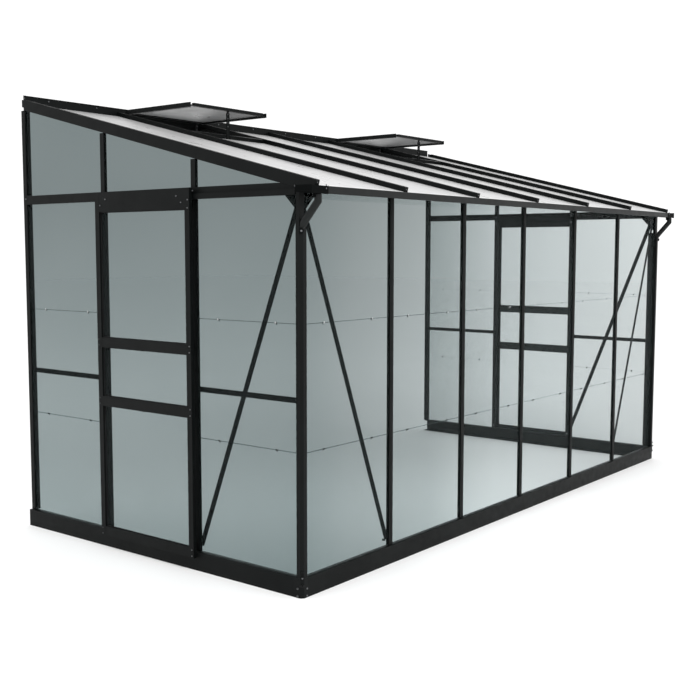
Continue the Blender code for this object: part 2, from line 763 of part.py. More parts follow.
# Front glass, one sheet a bay
EDGE = WEB_WIDTH / 2 + GAP
GLASS_FOOT = BASE_HEIGHT + GAP
for n in range(BAYS_LONG):
    left = -HALF_LENGTH + n * BAY + (BAR_IN + GAP if n == 0 else EDGE)
    right = -HALF_LENGTH + (n + 1) * BAY - (BAR_IN + GAP if n == BAYS_LONG - 1 else EDGE)
    box(
        f"front_glass_{n + 1}",
        (left, right),
        (back_y(-GLASS / 2), back_y(GLASS / 2)),
        (GLASS_FOOT, EAVES_BOTTOM - GAP),
        "glass",
    )

# Gable glass
for side, word in SIDES:
    xs = (out_x(side, GLASS / 2), out_x(side, -GLASS / 2))
    zs = (GLASS_FOOT, GIRT_BOTTOM - GAP)
    box(f"gable_glass_front_{word}", xs, (back_y(BAR_IN + GAP), back_y(BAY - EDGE)), zs, "glass")
    box(f"gable_glass_back_{word}", xs, (back_y(2 * BAY + EDGE), back_y(WALL_POST_FRONT - GAP)), zs, "glass")
    low = GIRT_TOP + GAP
    first = clear_from(low + 2 * GAP + GLASS)
    last = WALL_POST_FRONT - GAP
    side_outline(
        f"gable_glass_top_{word}",
        (
            (first, low),
            (last, low),
            (last, rafter_under(last) - 2 * GAP),
            (first, rafter_under(first) - 2 * GAP),
        ),
        *sorted(xs),
        "glass",
    )

# Roof panels: full length, or down from the sill in a vent bay
for n in range(BAYS_LONG):
    x = -HALF_LENGTH + (n + 0.5) * BAY
    reach = BAY / 2 - EDGE
    end = SILL_FRONT - PANEL_TO_SILL if n in VENT_BAYS else RIDGE_FRONT - PANEL_TO_RIDGE
    top = -CAP_HEIGHT - GAP
    sloped(
        f"roof_panel_{n + 1}",
        ((-reach, top), (-reach, top - PANEL + GAP), (reach, top - PANEL + GAP), (reach, top)),
        x,
        -PANEL_TAIL,
        end,
        look="panel",
    )

# Vent sills with their stays, and the open vents: a grooved frame round a sheet, hinged to the ridge by a leaf
for number, n in enumerate(VENT_BAYS, 1):
    x = -HALF_LENGTH + (n + 0.5) * BAY
    reach = BAY / 2 - half - GAP
    sill = sloped(
        f"vent_sill_{number}",
        ((-reach, SILL_HIGH), (-reach, SILL_LOW), (reach, SILL_LOW), (reach, SILL_HIGH)),
        x,
        SILL_FRONT,
        SILL_BACK,
    )
    tilt_run = Vector((0, -math.cos(VENT_TILT), math.sin(VENT_TILT)))
    tilt_up = Vector((0, math.sin(VENT_TILT), math.cos(VENT_TILT)))
    hinge = Vector((x, back_y(VENT_HINGE), VENT_HINGE_Z))
    place = axes((1, 0, 0), tilt_up, tilt_run, hinge)
    crossways = axes(tilt_run, tilt_up, (1, 0, 0), hinge)
    groove_low = VENT_PANEL_LOW - GAP
    groove_high = VENT_PANEL_LOW + PANEL + GAP

    def rail(outer, inner, height, sign, foot=0.0):
        """Section of a rail from its outer to its inner face, with the sheet's groove at the inner one."""
        into = inner - sign * VENT_PANEL_INTO
        return (
            (outer, foot),
            (inner, foot),
            (inner, groove_low),
            (into, groove_low),
            (into, groove_high),
            (inner, groove_high),
            (inner, height),
            (outer, height),
        )

    inner_half = VENT_HALF - VENT_RAIL
    full_run = VENT_LENGTH - VENT_RAIL
    frame = extruded(
        f"vent_{number}",
        rail(-VENT_HALF, -inner_half, VENT_SIDE_HIGH, 1, VENT_SIDE_LOW),
        place,
        full_run,
    )
    edges = [
        extruded(
            f"vent_side_{number}",
            rail(VENT_HALF, inner_half, VENT_SIDE_HIGH, -1, VENT_SIDE_LOW),
            place,
            full_run,
            collection=helpers,
        )
    ]
    for sign in (-1, 1):
        skin = sorted((sign * (VENT_HALF - GAP), sign * (VENT_HALF - VENT_SIDE_SKIN)))
        edges.append(
            extruded(
                f"vent_side_end_{number}_{sign + 1}",
                (
                    (skin[0], VENT_SIDE_LOW + GAP),
                    (skin[0], VENT_SIDE_HIGH - GAP),
                    (skin[1], VENT_SIDE_HIGH - GAP),
                    (skin[1], VENT_SIDE_LOW + GAP),
                ),
                place @ Matrix.Translation((0, 0, full_run - VENT_SIDE_SKIN)),
                VENT_RAIL + VENT_SIDE_SKIN,
                collection=helpers,
            )
        )
    end_half = inner_half + VENT_PANEL_INTO / 2
    across = crossways @ Matrix.Translation((0, 0, -end_half))
    edges.append(
        extruded(
            f"vent_hinge_{number}",
            rail(GAP, VENT_RAIL, VENT_FRAME - GAP, 1),
            across,
            2 * end_half,
            collection=helpers,
        )
    )
    edges.append(
        extruded(
            f"vent_flange_{number}",
            (
                (VENT_LENGTH - GAP, GAP),
                (VENT_LENGTH - VENT_RAIL + GAP, GAP),
                (VENT_LENGTH - VENT_RAIL + GAP, groove_low - GAP),
                (VENT_LENGTH - GAP, groove_low - GAP),
            ),
            crossways @ Matrix.Translation((0, 0, VENT_SIDE_SKIN / 2 - VENT_HALF)),
            2 * VENT_HALF - VENT_SIDE_SKIN,
            collection=helpers,
        )
    )
    free_half = VENT_HALF - VENT_FREE_NOTCH
    edges.append(
        extruded(
            f"vent_free_{number}",
            rail(VENT_LENGTH, VENT_LENGTH - VENT_RAIL, VENT_FRAME, -1),
            crossways @ Matrix.Translation((0, 0, -free_half)),
            2 * free_half,
            collection=helpers,
        )
    )
    leaf_back = -(RIDGE_FRONT - VENT_HINGE) + 2 * GAP
    edges.append(
        extruded(
            f"vent_leaf_{number}",
            (
                (leaf_back, VENT_PANEL_LOW),
                (leaf_back, VENT_PANEL_LOW + STAY_SKIN),
                (VENT_PANEL_INTO, VENT_PANEL_LOW + STAY_SKIN),
                (VENT_PANEL_INTO, VENT_PANEL_LOW),
            ),
            across,
            2 * end_half,
            collection=helpers,
        )
    )
    fused(frame, edges)
    sheet_half = inner_half + VENT_PANEL_INTO - GAP
    sheet_start = VENT_RAIL - VENT_PANEL_INTO + GAP
    extruded(
        f"vent_panel_{number}",
        (
            (-sheet_half, VENT_PANEL_LOW),
            (-sheet_half, VENT_PANEL_LOW + PANEL),
            (sheet_half, VENT_PANEL_LOW + PANEL),
            (sheet_half, VENT_PANEL_LOW),
        ),
        place @ Matrix.Translation((0, 0, sheet_start)),
        VENT_LENGTH - 2 * sheet_start,
        "panel",
    )
    stay_d = SILL_FRONT + STAY_SKIN / 2
    stay_top = VENT_HINGE_Z + (VENT_HINGE - stay_d) * math.tan(VENT_TILT) - GAP
    stay = box(
        f"vent_stay_{number}",
        (x - STAY_WIDTH / 2, x + STAY_WIDTH / 2),
        (back_y(stay_d - STAY_SKIN / 2 + GAP), back_y(stay_d + STAY_SKIN / 2)),
        (roof_z(stay_d) + (SILL_HIGH + SILL_LOW) / 2, stay_top),
        collection=helpers,
    )
    fused(sill, (stay,))

# Sliding doors with the rollers that run on the track
for side, word in SIDES:
    inner = out_x(side, DOOR_IN)
    outer = out_x(side, DOOR_OUT)
    rail_inner = out_x(side, DOOR_IN + GLASS + 2 * GAP)
    slider = bpy.data.objects.new(f"door_slide_{word}", None)
    slider.location = (inner, back_y(DOOR_FRONT), DOOR_BOTTOM)
    greenhouse.objects.link(slider)
    parts = []
    for n, (low, high) in enumerate(DOOR_RAILS):
        name = f"door_frame_{word}" if n == 0 else f"door_rail_{word}_{n}"
        ends = (DOOR_FRONT + 0.001, DOOR_BACK - 0.001)
        parts.append(
            box(
                name,
                (outer - side * 0.0005, rail_inner if n < 3 else inner + side * 0.0005),
                (back_y(ends[0]), back_y(ends[1])),
                (low, high),
                collection=greenhouse if n == 0 else helpers,
            )
        )
    for n, (low, high) in enumerate(
        ((DOOR_FRONT, DOOR_FRONT + DOOR_STILE), (DOOR_BACK - DOOR_STILE, DOOR_BACK))
    ):
        parts.append(
            box(
                f"door_stile_{word}_{n}",
                (outer, inner),
                (back_y(low), back_y(high)),
                (DOOR_BOTTOM - 0.001, DOOR_RAILS[-1][1] + 0.001),
                collection=helpers,
            )
        )
    for n, distance in enumerate((DOOR_FRONT + ROLLER_INSET, DOOR_BACK - ROLLER_INSET)):
        for part, radius, first, last in (
            ("wheel", ROLLER_RADIUS, TRACK_OUT, TRACK_OUT - 0.008),
            ("axle", 0.003, DOOR_IN + 0.002, TRACK_OUT - 0.001),
        ):
            shape = bmesh.new()
            centre = Vector(
                (
                    out_x(side, (first + last) / 2),
                    back_y(distance),
                    TRACK_TOP + 0.0005 + ROLLER_RADIUS,
                )
            )
            place = Matrix.Translation(centre) @ Matrix.Rotation(math.pi / 2, 4, "Y")
            bmesh.ops.create_cone(
                shape,
                cap_ends=True,
                segments=24,
                radius1=radius,
                radius2=radius,
                depth=abs(first - last),
                matrix=place,
            )
            parts.append(from_bmesh(f"door_{part}_{word}_{n}", shape, "frame", helpers))
    door = fused(parts[0], parts[1:])
    pane = box(
        f"door_glass_{word}",
        (out_x(side, DOOR_IN), out_x(side, DOOR_IN + GLASS)),
        (back_y(DOOR_FRONT + DOOR_STILE + GAP), back_y(DOOR_BACK - DOOR_STILE - GAP)),
        (DOOR_RAILS[0][0] + 0.010, DOOR_RAILS[-1][0] - GAP),
        "glass",
    )
    bpy.context.view_layer.update()
    for piece in (door, pane):
        piece.parent = slider
        piece.matrix_parent_inverse = slider.matrix_world.inverted()
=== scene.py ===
"""Looks for the lean-to greenhouse: materials, lapped glazing, roof sheets, fixings and door detail."""

import math

import bmesh
import bpy
from mathutils import Matrix, Vector


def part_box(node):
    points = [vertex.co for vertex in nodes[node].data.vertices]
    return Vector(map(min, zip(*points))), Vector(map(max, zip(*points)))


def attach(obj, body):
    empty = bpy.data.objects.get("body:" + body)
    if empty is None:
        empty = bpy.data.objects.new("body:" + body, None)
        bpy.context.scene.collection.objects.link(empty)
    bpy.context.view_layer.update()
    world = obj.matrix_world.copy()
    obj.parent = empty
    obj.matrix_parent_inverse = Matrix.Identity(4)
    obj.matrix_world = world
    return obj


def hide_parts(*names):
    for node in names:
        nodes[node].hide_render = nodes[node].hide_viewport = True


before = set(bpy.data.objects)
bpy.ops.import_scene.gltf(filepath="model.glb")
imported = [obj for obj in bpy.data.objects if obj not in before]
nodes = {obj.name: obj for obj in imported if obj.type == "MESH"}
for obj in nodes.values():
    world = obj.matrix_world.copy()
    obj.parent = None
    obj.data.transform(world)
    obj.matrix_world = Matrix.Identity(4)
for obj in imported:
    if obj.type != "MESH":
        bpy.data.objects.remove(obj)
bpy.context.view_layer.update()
scene = bpy.context.scene

# Camera, in metres of the shared frame
CAMERA_AT = (-5.0811, -3.6565, 1.4486)
CAMERA_RIGHT = (0.61724, -0.78677, 0.00114)
CAMERA_UP = (0.07268, 0.05846, 0.99564)
CAMERA_BACK = (-0.78341, -0.61447, 0.09327)
CAMERA_LENS = 53.481
CAMERA_SENSOR = 36.0
CAMERA_REACH = 200.0

# Bays, and the roof's top line, which the rafter caps follow
BAYS_LONG = 6
BAYS_DEEP = 3
VENT_BAYS = (1, 4)
ROOF_TOP = 1.7545
ROOF_RISE = 0.2485
SLOPE = math.atan(ROOF_RISE)
CAP_HEIGHT = 0.0215
SHEET = 0.006
RAFTER_WIDTH = 0.028
RAFTER_TAIL = 0.087
PANEL_TAIL = 0.085
RIDGE_DEEP = 0.020
RIDGE_TALL = 0.0725
VENT_RAIL = 0.020

# Glazing: three panes a bay that lap at these heights, held by two clips a lap
GLASS = 0.003
PANE_GAP = 0.0002
LAP_HEIGHTS = (0.609, 1.148)
LAP = 0.002
CLIP_PLACES = (0.14, 0.48)
CLIP_WIDTH = 0.006
CLIP_METAL = 0.0008
CLIP_OUT = GLASS * 1.5 + 0.0004
# Tinted strip along each front pane's head, a painted shadow line under the gutter: its drop and thickness
HEAD_SHADOW_STRIP_DROP = 0.026
HEAD_SHADOW_STRIP_SKIN = 0.0012

# Glazing bars and base rails: how far they stand out of and into the glass plane
BAR_OUT = 0.009
BAR_IN = 0.008
BASE_OUT_FRONT = 0.021
BASE_OUT_GABLE = 0.0245
BASE_SKIN = 0.003
BASE_FLANGE = 0.050
LEDGE_IN = 0.010

# Corner blocks: a slanted face with three studs, a cover plate and a long slot
CHAMFER = 0.012
LUG_HEIGHTS = (0.0555, 0.0890, 0.1120)
LUG_REACH = 0.0095
COVER_FOOT = 0.0605
COVER_TALL = 0.040
COVER_OUTLINE = ((-0.0080, -0.0030), (-0.0088, 0.0014), (0.0088, 0.0014), (0.0080, -0.0030))
SLOT_MIDDLE = 0.0525
SLOT_HALF_WIDTH = 0.0105
SLOT_HALF_HEIGHT = 0.0052
SLOT_SIDES = 20

# Corner posts' inner flanges
POST_RETURN = 0.038
RETURN_SKIN = 0.0025
RETURN_LIP = 0.0165
RETURN_HEAD_GAP = 0.108

# Downpipes, and the bosses on the corner posts behind them
PIPE_RADIUS = 0.0155
PIPE_OUT = 0.010
PIPE_FORWARD = 0.091
PIPE_LEAN = 0.006
PIPE_BEND = 1.648
PIPE_SIDES = 16
BOSS_HEIGHT = 1.530
BOSS_REACH = 0.0100

# Door: screws by distance from its front edge and depth under its top, its rails, and the pane stops on them
DOOR_HEAD_SCREWS = (
    (0.5722, 0.0343),
    (0.6108, 0.0628),
    (0.0825, 0.0344),
    (0.0522, 0.0633),
    (0.0104, 0.0523),
    (0.0111, 0.0884),
)
DOOR_STILE = 0.030
DOOR_HEADER = 0.0940
DOOR_RAIL_MIDDLES = (0.0855, 0.7274, 1.01135)
DOOR_PANE_FEET = (0.109, 0.7512, 1.0347)
DOOR_PANE_HEADS = (0.7036, 0.988)
DOOR_STOPS = (
    (1.6310, -1),
    (DOOR_PANE_FEET[2], 1),
    (DOOR_PANE_HEADS[1], -1),
    (DOOR_PANE_FEET[1], 1),
    (DOOR_PANE_HEADS[0], -1),
)

# Grain of the materials: the part of a noise that is used, and sizes of clouds and streaks
NOISE_SPAN = (0.3, 0.7)
COAT_CLOUDS = 4.0
COAT_PATCHES = 22.0
METAL_STREAK = (40.0, 40.0, 400.0)
TINT_CLOUDS = 1.3
TINT_DRIFT = 0.06
SHEET_WALLS = 31.4
SHEET_STREAK = (24.0, 0.8, 0.8)
SHEET_STREAK_SHADE = (0.91, 1.07)
# Painted shade at the ridge end of the roof sheets
SHEET_HEAD_SHADE = 0.68
SHEET_PATCHES = 9.0
WHITE = (1.0, 1.0, 1.0)

# Directions
SIDES = ((-1, "left"), (1, "right"))
UP = Vector((0, 0, 1))
DOWN = Vector((0, 0, -1))
ACROSS = Vector((1, 0, 0))
BACK = Vector((0, 1, 0))
FORWARD = Vector((0, -1, 0))
SQUARE = (ACROSS, BACK, UP)
SLOPE_UP = Vector((0, -math.sin(SLOPE), math.cos(SLOPE)))
SLOPE_RUN = Vector((0, math.cos(SLOPE), math.sin(SLOPE)))


def middle(node, axis):
    low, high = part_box(node)
    return (low[axis] + high[axis]) / 2


def low_of(node, axis):
    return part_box(node)[0][axis]


def high_of(node, axis):
    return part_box(node)[1][axis]


# Places read from the solids
FRONT_Y = middle("front_glass_2", 1)
HALF_LENGTH = middle("gable_glass_front_right", 0)
ENDS = (-HALF_LENGTH, HALF_LENGTH)
BAY = 2 * HALF_LENGTH / BAYS_LONG
BASE_TOP = high_of("base_rail_front", 2)
EAVES_TOP = high_of("corner_post_left", 2)
GLASS_TOP = high_of("front_glass_2", 2)
GIRT_LOW = high_of("gable_glass_front_left", 2)
GIRT_HIGH = low_of("gable_glass_top_left", 2)
SHEET_TOP = high_of("roof_panel_1", 2)
RIDGE_FACE = high_of("roof_bars", 1) - RIDGE_DEEP - FRONT_Y
RIDGE_UNDER = high_of("roof_bars", 2) - RIDGE_TALL
GABLE_RAFTER_BACK = high_of("gable_rafter_left", 1)

camera_data = bpy.data.cameras.new("camera")
camera_data.lens = CAMERA_LENS
camera_data.sensor_width = CAMERA_SENSOR
camera_data.clip_end = CAMERA_REACH
camera = bpy.data.objects.new("camera", camera_data)
turned_axes = Matrix((CAMERA_RIGHT, CAMERA_UP, CAMERA_BACK)).transposed().to_4x4()
turned_axes.translation = Vector(CAMERA_AT)
camera.matrix_world = turned_axes
scene.collection.objects.link(camera)
scene.camera = camera

# Soft white surroundings, with enough see-through steps for all the panes in a row
WORLD_STRENGTH = 1.12
CLEAR_STEPS = 48
scene.view_settings.view_transform = "Standard"
scene.cycles.transparent_max_bounces = CLEAR_STEPS
world = bpy.data.worlds.new("studio")
world.use_nodes = True
background = world.node_tree.nodes["Background"]
background.inputs["Color"].default_value = (*WHITE, 1.0)
background.inputs["Strength"].default_value = WORLD_STRENGTH
scene.world = world


def area_lamp(name, place, target, size, power):
    data = bpy.data.lights.new(name, "AREA")
    data.shape = "SQUARE"
    data.size = size
    data.energy = power
    lamp = bpy.data.objects.new(name, data)
    lamp.location = place
    lamp.rotation_euler = (Vector(target) - Vector(place)).to_track_quat("-Z", "Y").to_euler()
    scene.collection.objects.link(lamp)
    return lamp


# A large soft lamp, and an unseen one under the roof for the light that its sheets let through
area_lamp("key", (-4.5, -6.0, 7.0), target=(0.0, 0.0, 1.0), size=5.0, power=380.0)
room_fill = area_lamp("room_fill", (-0.75, 0.05, 1.62), target=(-0.75, 0.05, 0.0), size=1.5, power=15.0)
room_fill.scale = (1.4, 1.0, 1.0)
room_fill.visible_camera = False
room_fill.visible_glossy = False


# Material helpers
def node_material(name):
    made = bpy.data.materials.new(name)
    made.use_nodes = True
    tree = made.node_tree
    return made, tree, tree.nodes["Principled BSDF"]


def coordinates(tree, scale=(1.0, 1.0, 1.0)):
    source = tree.nodes.new("ShaderNodeTexCoord")
    mapping = tree.nodes.new("ShaderNodeMapping")
    mapping.inputs["Scale"].default_value = scale
    tree.links.new(source.outputs["Object"], mapping.inputs["Vector"])
    return mapping.outputs["Vector"]


def parts_of(tree, vector):
    """A vector's parts, as the outputs X, Y and Z."""
    split = tree.nodes.new("ShaderNodeSeparateXYZ")
    tree.links.new(vector, split.inputs["Vector"])
    return split.outputs


def noise(tree, vector, scale, detail):
    made = tree.nodes.new("ShaderNodeTexNoise")
    made.inputs["Scale"].default_value = scale
    made.inputs["Detail"].default_value = detail
    tree.links.new(vector, made.inputs["Vector"])
    return made.outputs["Fac"]


def ramp(tree, factor, stops):
    made = tree.nodes.new("ShaderNodeValToRGB")
    made.color_ramp.elements[0].position = stops[0][0]
    made.color_ramp.elements[0].color = (*stops[0][1], 1.0)
    made.color_ramp.elements[1].position = stops[-1][0]
    made.color_ramp.elements[1].color = (*stops[-1][1], 1.0)
    for place, colour in stops[1:-1]:
        made.color_ramp.elements.new(place).color = (*colour, 1.0)
    tree.links.new(factor, made.inputs["Fac"])
    return made.outputs["Color"]


def clouded(tree, factor, dark, light):
    """A colour that goes from dark to light over the used part of a noise."""
    return ramp(tree, factor, ((NOISE_SPAN[0], dark), (NOISE_SPAN[1], light)))


def remap(tree, value, span, result):
    """Carries a value from one span to another; the result's ends are numbers or outputs."""
    made = tree.nodes.new("ShaderNodeMapRange")
    made.inputs["From Min"].default_value, made.inputs["From Max"].default_value = span
    for word, end in zip(("To Min", "To Max"), result):
        if isinstance(end, bpy.types.NodeSocket):
            tree.links.new(end, made.inputs[word])
        else:
            made.inputs[word].default_value = end
    tree.links.new(value, made.inputs["Value"])
    return made.outputs["Result"]


def spread(tree, factor, result):
    """The used part of a noise, carried to the span of result."""
    return remap(tree, factor, NOISE_SPAN, result)


def scaled(tree, colour, share):
    made = tree.nodes.new("ShaderNodeVectorMath")
    made.operation = "SCALE"
    tree.links.new(colour, made.inputs[0])
    tree.links.new(share, made.inputs["Scale"])
    return made.outputs["Vector"]


def bump(tree, shader, height, distance, strength):
    made = tree.nodes.new("ShaderNodeBump")
    made.inputs["Strength"].default_value = strength
    made.inputs["Distance"].default_value = distance
    tree.links.new(height, made.inputs["Height"])
    tree.links.new(made.outputs["Normal"], shader.inputs["Normal"])


def coated(name, dark, light, rough, gloss, peel=0.00025, grain=260.0):
    """Powder coat: cloudy colour, uneven gloss and a fine peel."""
    made, tree, shader = node_material(name)
    place = coordinates(tree)
    clouds = noise(tree, place, COAT_CLOUDS, detail=4.0)
    patches = noise(tree, place, COAT_PATCHES, detail=4.0)
    tree.links.new(clouded(tree, clouds, dark, light), shader.inputs["Base Color"])
    tree.links.new(spread(tree, patches, rough), shader.inputs["Roughness"])
    shader.inputs["Specular IOR Level"].default_value = gloss
    bump(tree, shader, noise(tree, place, grain, detail=2.0), peel, strength=0.35)
    return made


def metal(name, dark, light, rough):
    """Bare or plated metal with fine drawn streaks."""
    made, tree, shader = node_material(name)
    streaks = noise(tree, coordinates(tree, METAL_STREAK), 2.0, detail=3.0)
    tree.links.new(clouded(tree, streaks, dark, light), shader.inputs["Base Color"])
    tree.links.new(spread(tree, streaks, rough), shader.inputs["Roughness"])
    shader.inputs["Metallic"].default_value = 1.0
    bump(tree, shader, streaks, 0.0001, strength=0.2)
    return made


def tinted(name, tints, haze, share, foot=(1.0, 1.0), head=(1.0, 1.0)):
    """Glass: its tint lightens along the building as painted shade, under a thin glossy haze.

    The tint is scaled by foot at the glass's foot and by head at its top, each given for both ends, as
    painted shade that changes with height.
    """
    made, tree, shader = node_material(name)
    clear = tree.nodes.new("ShaderNodeBsdfTransparent")
    place = coordinates(tree)
    parts = parts_of(tree, place)
    # Place on the tint ramp: a random drift plus painted shade that lightens along the building
    drift_and_shade_along = tree.nodes.new("ShaderNodeMath")
    drift_and_shade_along.operation = "MULTIPLY_ADD"
    drift_and_shade_along.inputs[1].default_value = TINT_DRIFT
    tree.links.new(noise(tree, place, TINT_CLOUDS, detail=2.0), drift_and_shade_along.inputs[0])
    tree.links.new(remap(tree, parts["X"], ENDS, (0.0, 1.0)), drift_and_shade_along.inputs[2])
    shades = (remap(tree, parts["X"], ENDS, foot), remap(tree, parts["X"], ENDS, head))
    # Painted shade by height: the tint is scaled from the foot's factor to the head's
    depth = remap(tree, parts["Z"], (BASE_TOP, GLASS_TOP), shades)
    tint = ramp(tree, drift_and_shade_along.outputs["Value"], tints)
    tree.links.new(scaled(tree, tint, depth), clear.inputs["Color"])
    shader.inputs["Base Color"].default_value = (*haze, 1.0)
    shader.inputs["Roughness"].default_value = 0.05
    mixed = tree.nodes.new("ShaderNodeMixShader")
    mixed.inputs["Fac"].default_value = share
    tree.links.new(clear.outputs["BSDF"], mixed.inputs[1])
    tree.links.new(shader.outputs["BSDF"], mixed.inputs[2])
    tree.links.new(mixed.outputs["Shader"], tree.nodes["Material Output"].inputs["Surface"])
    return made


def ribbed_sheet(name, dark, light, alpha, under=None):
    """Twin-wall sheet: pale, slightly see-through, with its inner walls' lines along the slope, and painted
    shade that darkens it toward the ridge.

    Where a shade is given for under, the faces that look down take it as painted shade.
    """
    made, tree, shader = node_material(name)
    place = coordinates(tree)
    walls = tree.nodes.new("ShaderNodeTexWave")
    walls.bands_direction = "X"
    walls.inputs["Scale"].default_value = SHEET_WALLS
    walls.inputs["Distortion"].default_value = 0.0
    tree.links.new(place, walls.inputs["Vector"])
    banded = ramp(tree, walls.outputs["Fac"], ((0.0, dark), (0.35, light), (1.0, light)))
    # Painted shade: the sheet darkens from the eaves toward the ridge
    ridge_shade = remap(tree, parts_of(tree, place)["Z"], (EAVES_TOP, SHEET_TOP), (1.0, SHEET_HEAD_SHADE))
    streaks = noise(tree, coordinates(tree, SHEET_STREAK), 1.0, detail=4.0)
    streaked = tree.nodes.new("ShaderNodeMath")
    streaked.operation = "MULTIPLY"
    tree.links.new(ridge_shade, streaked.inputs[0])
    tree.links.new(spread(tree, streaks, SHEET_STREAK_SHADE), streaked.inputs[1])
    lined = scaled(tree, banded, streaked.outputs["Value"])
    if under:
        # Painted shade on the faces that look down
        facing = tree.nodes.new("ShaderNodeNewGeometry")
        upward = parts_of(tree, facing.outputs["Normal"])["Z"]
        shaded = tree.nodes.new("ShaderNodeMix")
        shaded.data_type = "RGBA"
        shaded.blend_type = "MULTIPLY"
        shaded.inputs["Factor"].default_value = 1.0
        tree.links.new(lined, shaded.inputs["A"])
        tree.links.new(ramp(tree, upward, ((0.0, under), (0.05, WHITE))), shaded.inputs["B"])
        lined = shaded.outputs["Result"]
    tree.links.new(lined, shader.inputs["Base Color"])
    patches = noise(tree, place, SHEET_PATCHES, detail=3.0)
    tree.links.new(spread(tree, patches, (0.26, 0.40)), shader.inputs["Roughness"])
    shader.inputs["Alpha"].default_value = alpha
    return made


BLACK_COAT = coated(
    "black_coat", (0.0024, 0.0031, 0.0031), (0.0044, 0.0054, 0.0053), rough=(0.36, 0.52), gloss=0.09
)
GUTTER_COAT = coated(
    "gutter_coat", (0.0044, 0.0054, 0.0054), (0.0072, 0.0086, 0.0085), rough=(0.34, 0.48), gloss=0.16
)
OUTLET_COAT = coated(
    "outlet_coat", (0.0014, 0.0019, 0.0019), (0.0026, 0.0032, 0.0032), rough=(0.50, 0.62), gloss=0.03
)
RUBBER = coated(
    "rubber",
    (0.0040, 0.0040, 0.0042),
    (0.0080, 0.0080, 0.0082),
    rough=(0.60, 0.75),
    gloss=0.20,
    peel=0.0002,
    grain=500.0,
)
NYLON = coated(
    "nylon",
    (0.016, 0.016, 0.017),
    (0.024, 0.024, 0.025),
    rough=(0.35, 0.45),
    gloss=0.35,
    peel=0.0001,
    grain=300.0,
)
BRISTLE = coated(
    "bristle",
    (0.0050, 0.0050, 0.0055),
    (0.0095, 0.0095, 0.0100),
    rough=(0.80, 0.90),
    gloss=0.06,
    peel=0.0003,
    grain=900.0,
)
STEEL = metal("spring_steel", (0.42, 0.43, 0.44), (0.62, 0.63, 0.63), rough=(0.22, 0.38))
SCREW = metal("dulled_screw", (0.11, 0.115, 0.12), (0.20, 0.205, 0.21), rough=(0.30, 0.45))
# Wall glass: a light green glass tint with painted shade over it, darkest at the left end and lightening
# toward the right; at the left end the tops are darker than the feet, at the right end a little lighter
WALL_GLASS = tinted(
    "wall_glass",
    (
        (0.00, (0.500, 0.545, 0.548)),
        (0.12, (0.575, 0.611, 0.613)),
        (0.28, (0.650, 0.684, 0.686)),
        (0.45, (0.815, 0.843, 0.845)),
        (0.62, (0.870, 0.894, 0.896)),
        (0.80, (0.900, 0.920, 0.921)),
        (1.00, (0.930, 0.946, 0.947)),
    ),
    haze=(0.26, 0.31, 0.31),
    share=0.03,
    foot=(1.09, 0.91),
    head=(0.84, 0.97),
)
# The panes' cut edges, which take the same painted shade lightening along the building
GLASS_EDGE = tinted(
    "glass_edge",
    ((0.0, (0.66, 0.71, 0.71)), (1.0, (0.80, 0.84, 0.84))),
    haze=(0.62, 0.68, 0.68),
    share=0.30,
)
# See-through tint that darkens the head strips as painted shadow, most at the left end and fading out by the
# middle
HEAD_SHADOW_STRIP = tinted(
    "head_shadow_strip",
    ((0.0, (0.90, 0.92, 0.92)), (0.5, WHITE)),
    haze=(0.20, 0.22, 0.22),
    share=0.02,
)
ROOF_SHEET = ribbed_sheet("roof_sheet", (0.52, 0.52, 0.52), (0.57, 0.57, 0.57), alpha=0.93)
# Vent sheets, paler than the roof sheets, with painted shade on the faces that look down
VENT_SHEET = ribbed_sheet(
    "vent_sheet", (0.66, 0.67, 0.67), (0.72, 0.73, 0.73), alpha=0.97, under=(0.31, 0.31, 0.31)
)
EDGE_STRIP = coated("edge_strip", (0.62, 0.63, 0.63), (0.72, 0.73, 0.73), rough=(0.30, 0.42), gloss=0.45)


# Shape helpers
def prism(shape, corners, run, look=0):
    """A polygon of points moved along a vector, closed at both ends."""
    first = [shape.verts.new(corner) for corner in corners]
    second = [shape.verts.new(Vector(corner) + run) for corner in corners]
    faces = [shape.faces.new(first[::-1]), shape.faces.new(second)]
    for n, corner in enumerate(first):
        m = (n + 1) % len(first)
        faces.append(shape.faces.new((corner, first[m], second[m], second[n])))
    for face in faces:
        face.material_index = look
    return faces


def block(shape, centre, axes, size, edge=0.0004, look=0):
    """A box with eased edges, in the axes' directions."""
    turn = Matrix([Vector(a) for a in axes]).transposed().to_4x4()
    place = Matrix.Translation(centre) @ turn @ Matrix.Diagonal((*size, 1.0))
    made = bmesh.ops.create_cube(shape, size=1.0, matrix=place)
    edges = {e for v in made["verts"] for e in v.link_edges}
    eased = bmesh.ops.bevel(shape, geom=list(edges), offset=edge, segments=1, affect="EDGES")
    for face in {f for v in eased["verts"] for f in v.link_faces}:
        face.material_index = look


def lathe(shape, profile, at, axis, sides=16, look=0):
    """A profile of (radius, height) turned about an axis; it ends on the axis or where it began."""
    turn = Vector(axis).to_track_quat("Z", "Y").to_matrix()
    rings = []
    for radius, height in profile:
        count = sides if radius > 0 else 1
        ring = []
        for step in range(count):
            angle = 2 * math.pi * step / sides
            spot = Vector((radius * math.cos(angle), radius * math.sin(angle), height))
            ring.append(shape.verts.new(Vector(at) + turn @ spot))
        rings.append(ring)
    for low, high in zip(rings, rings[1:]):
        for step in range(sides):
            corners = [
                low[step % len(low)],
                low[(step + 1) % len(low)],
                high[(step + 1) % len(high)],
                high[step % len(high)],
            ]
            shape.faces.new(list(dict.fromkeys(corners))).material_index = look


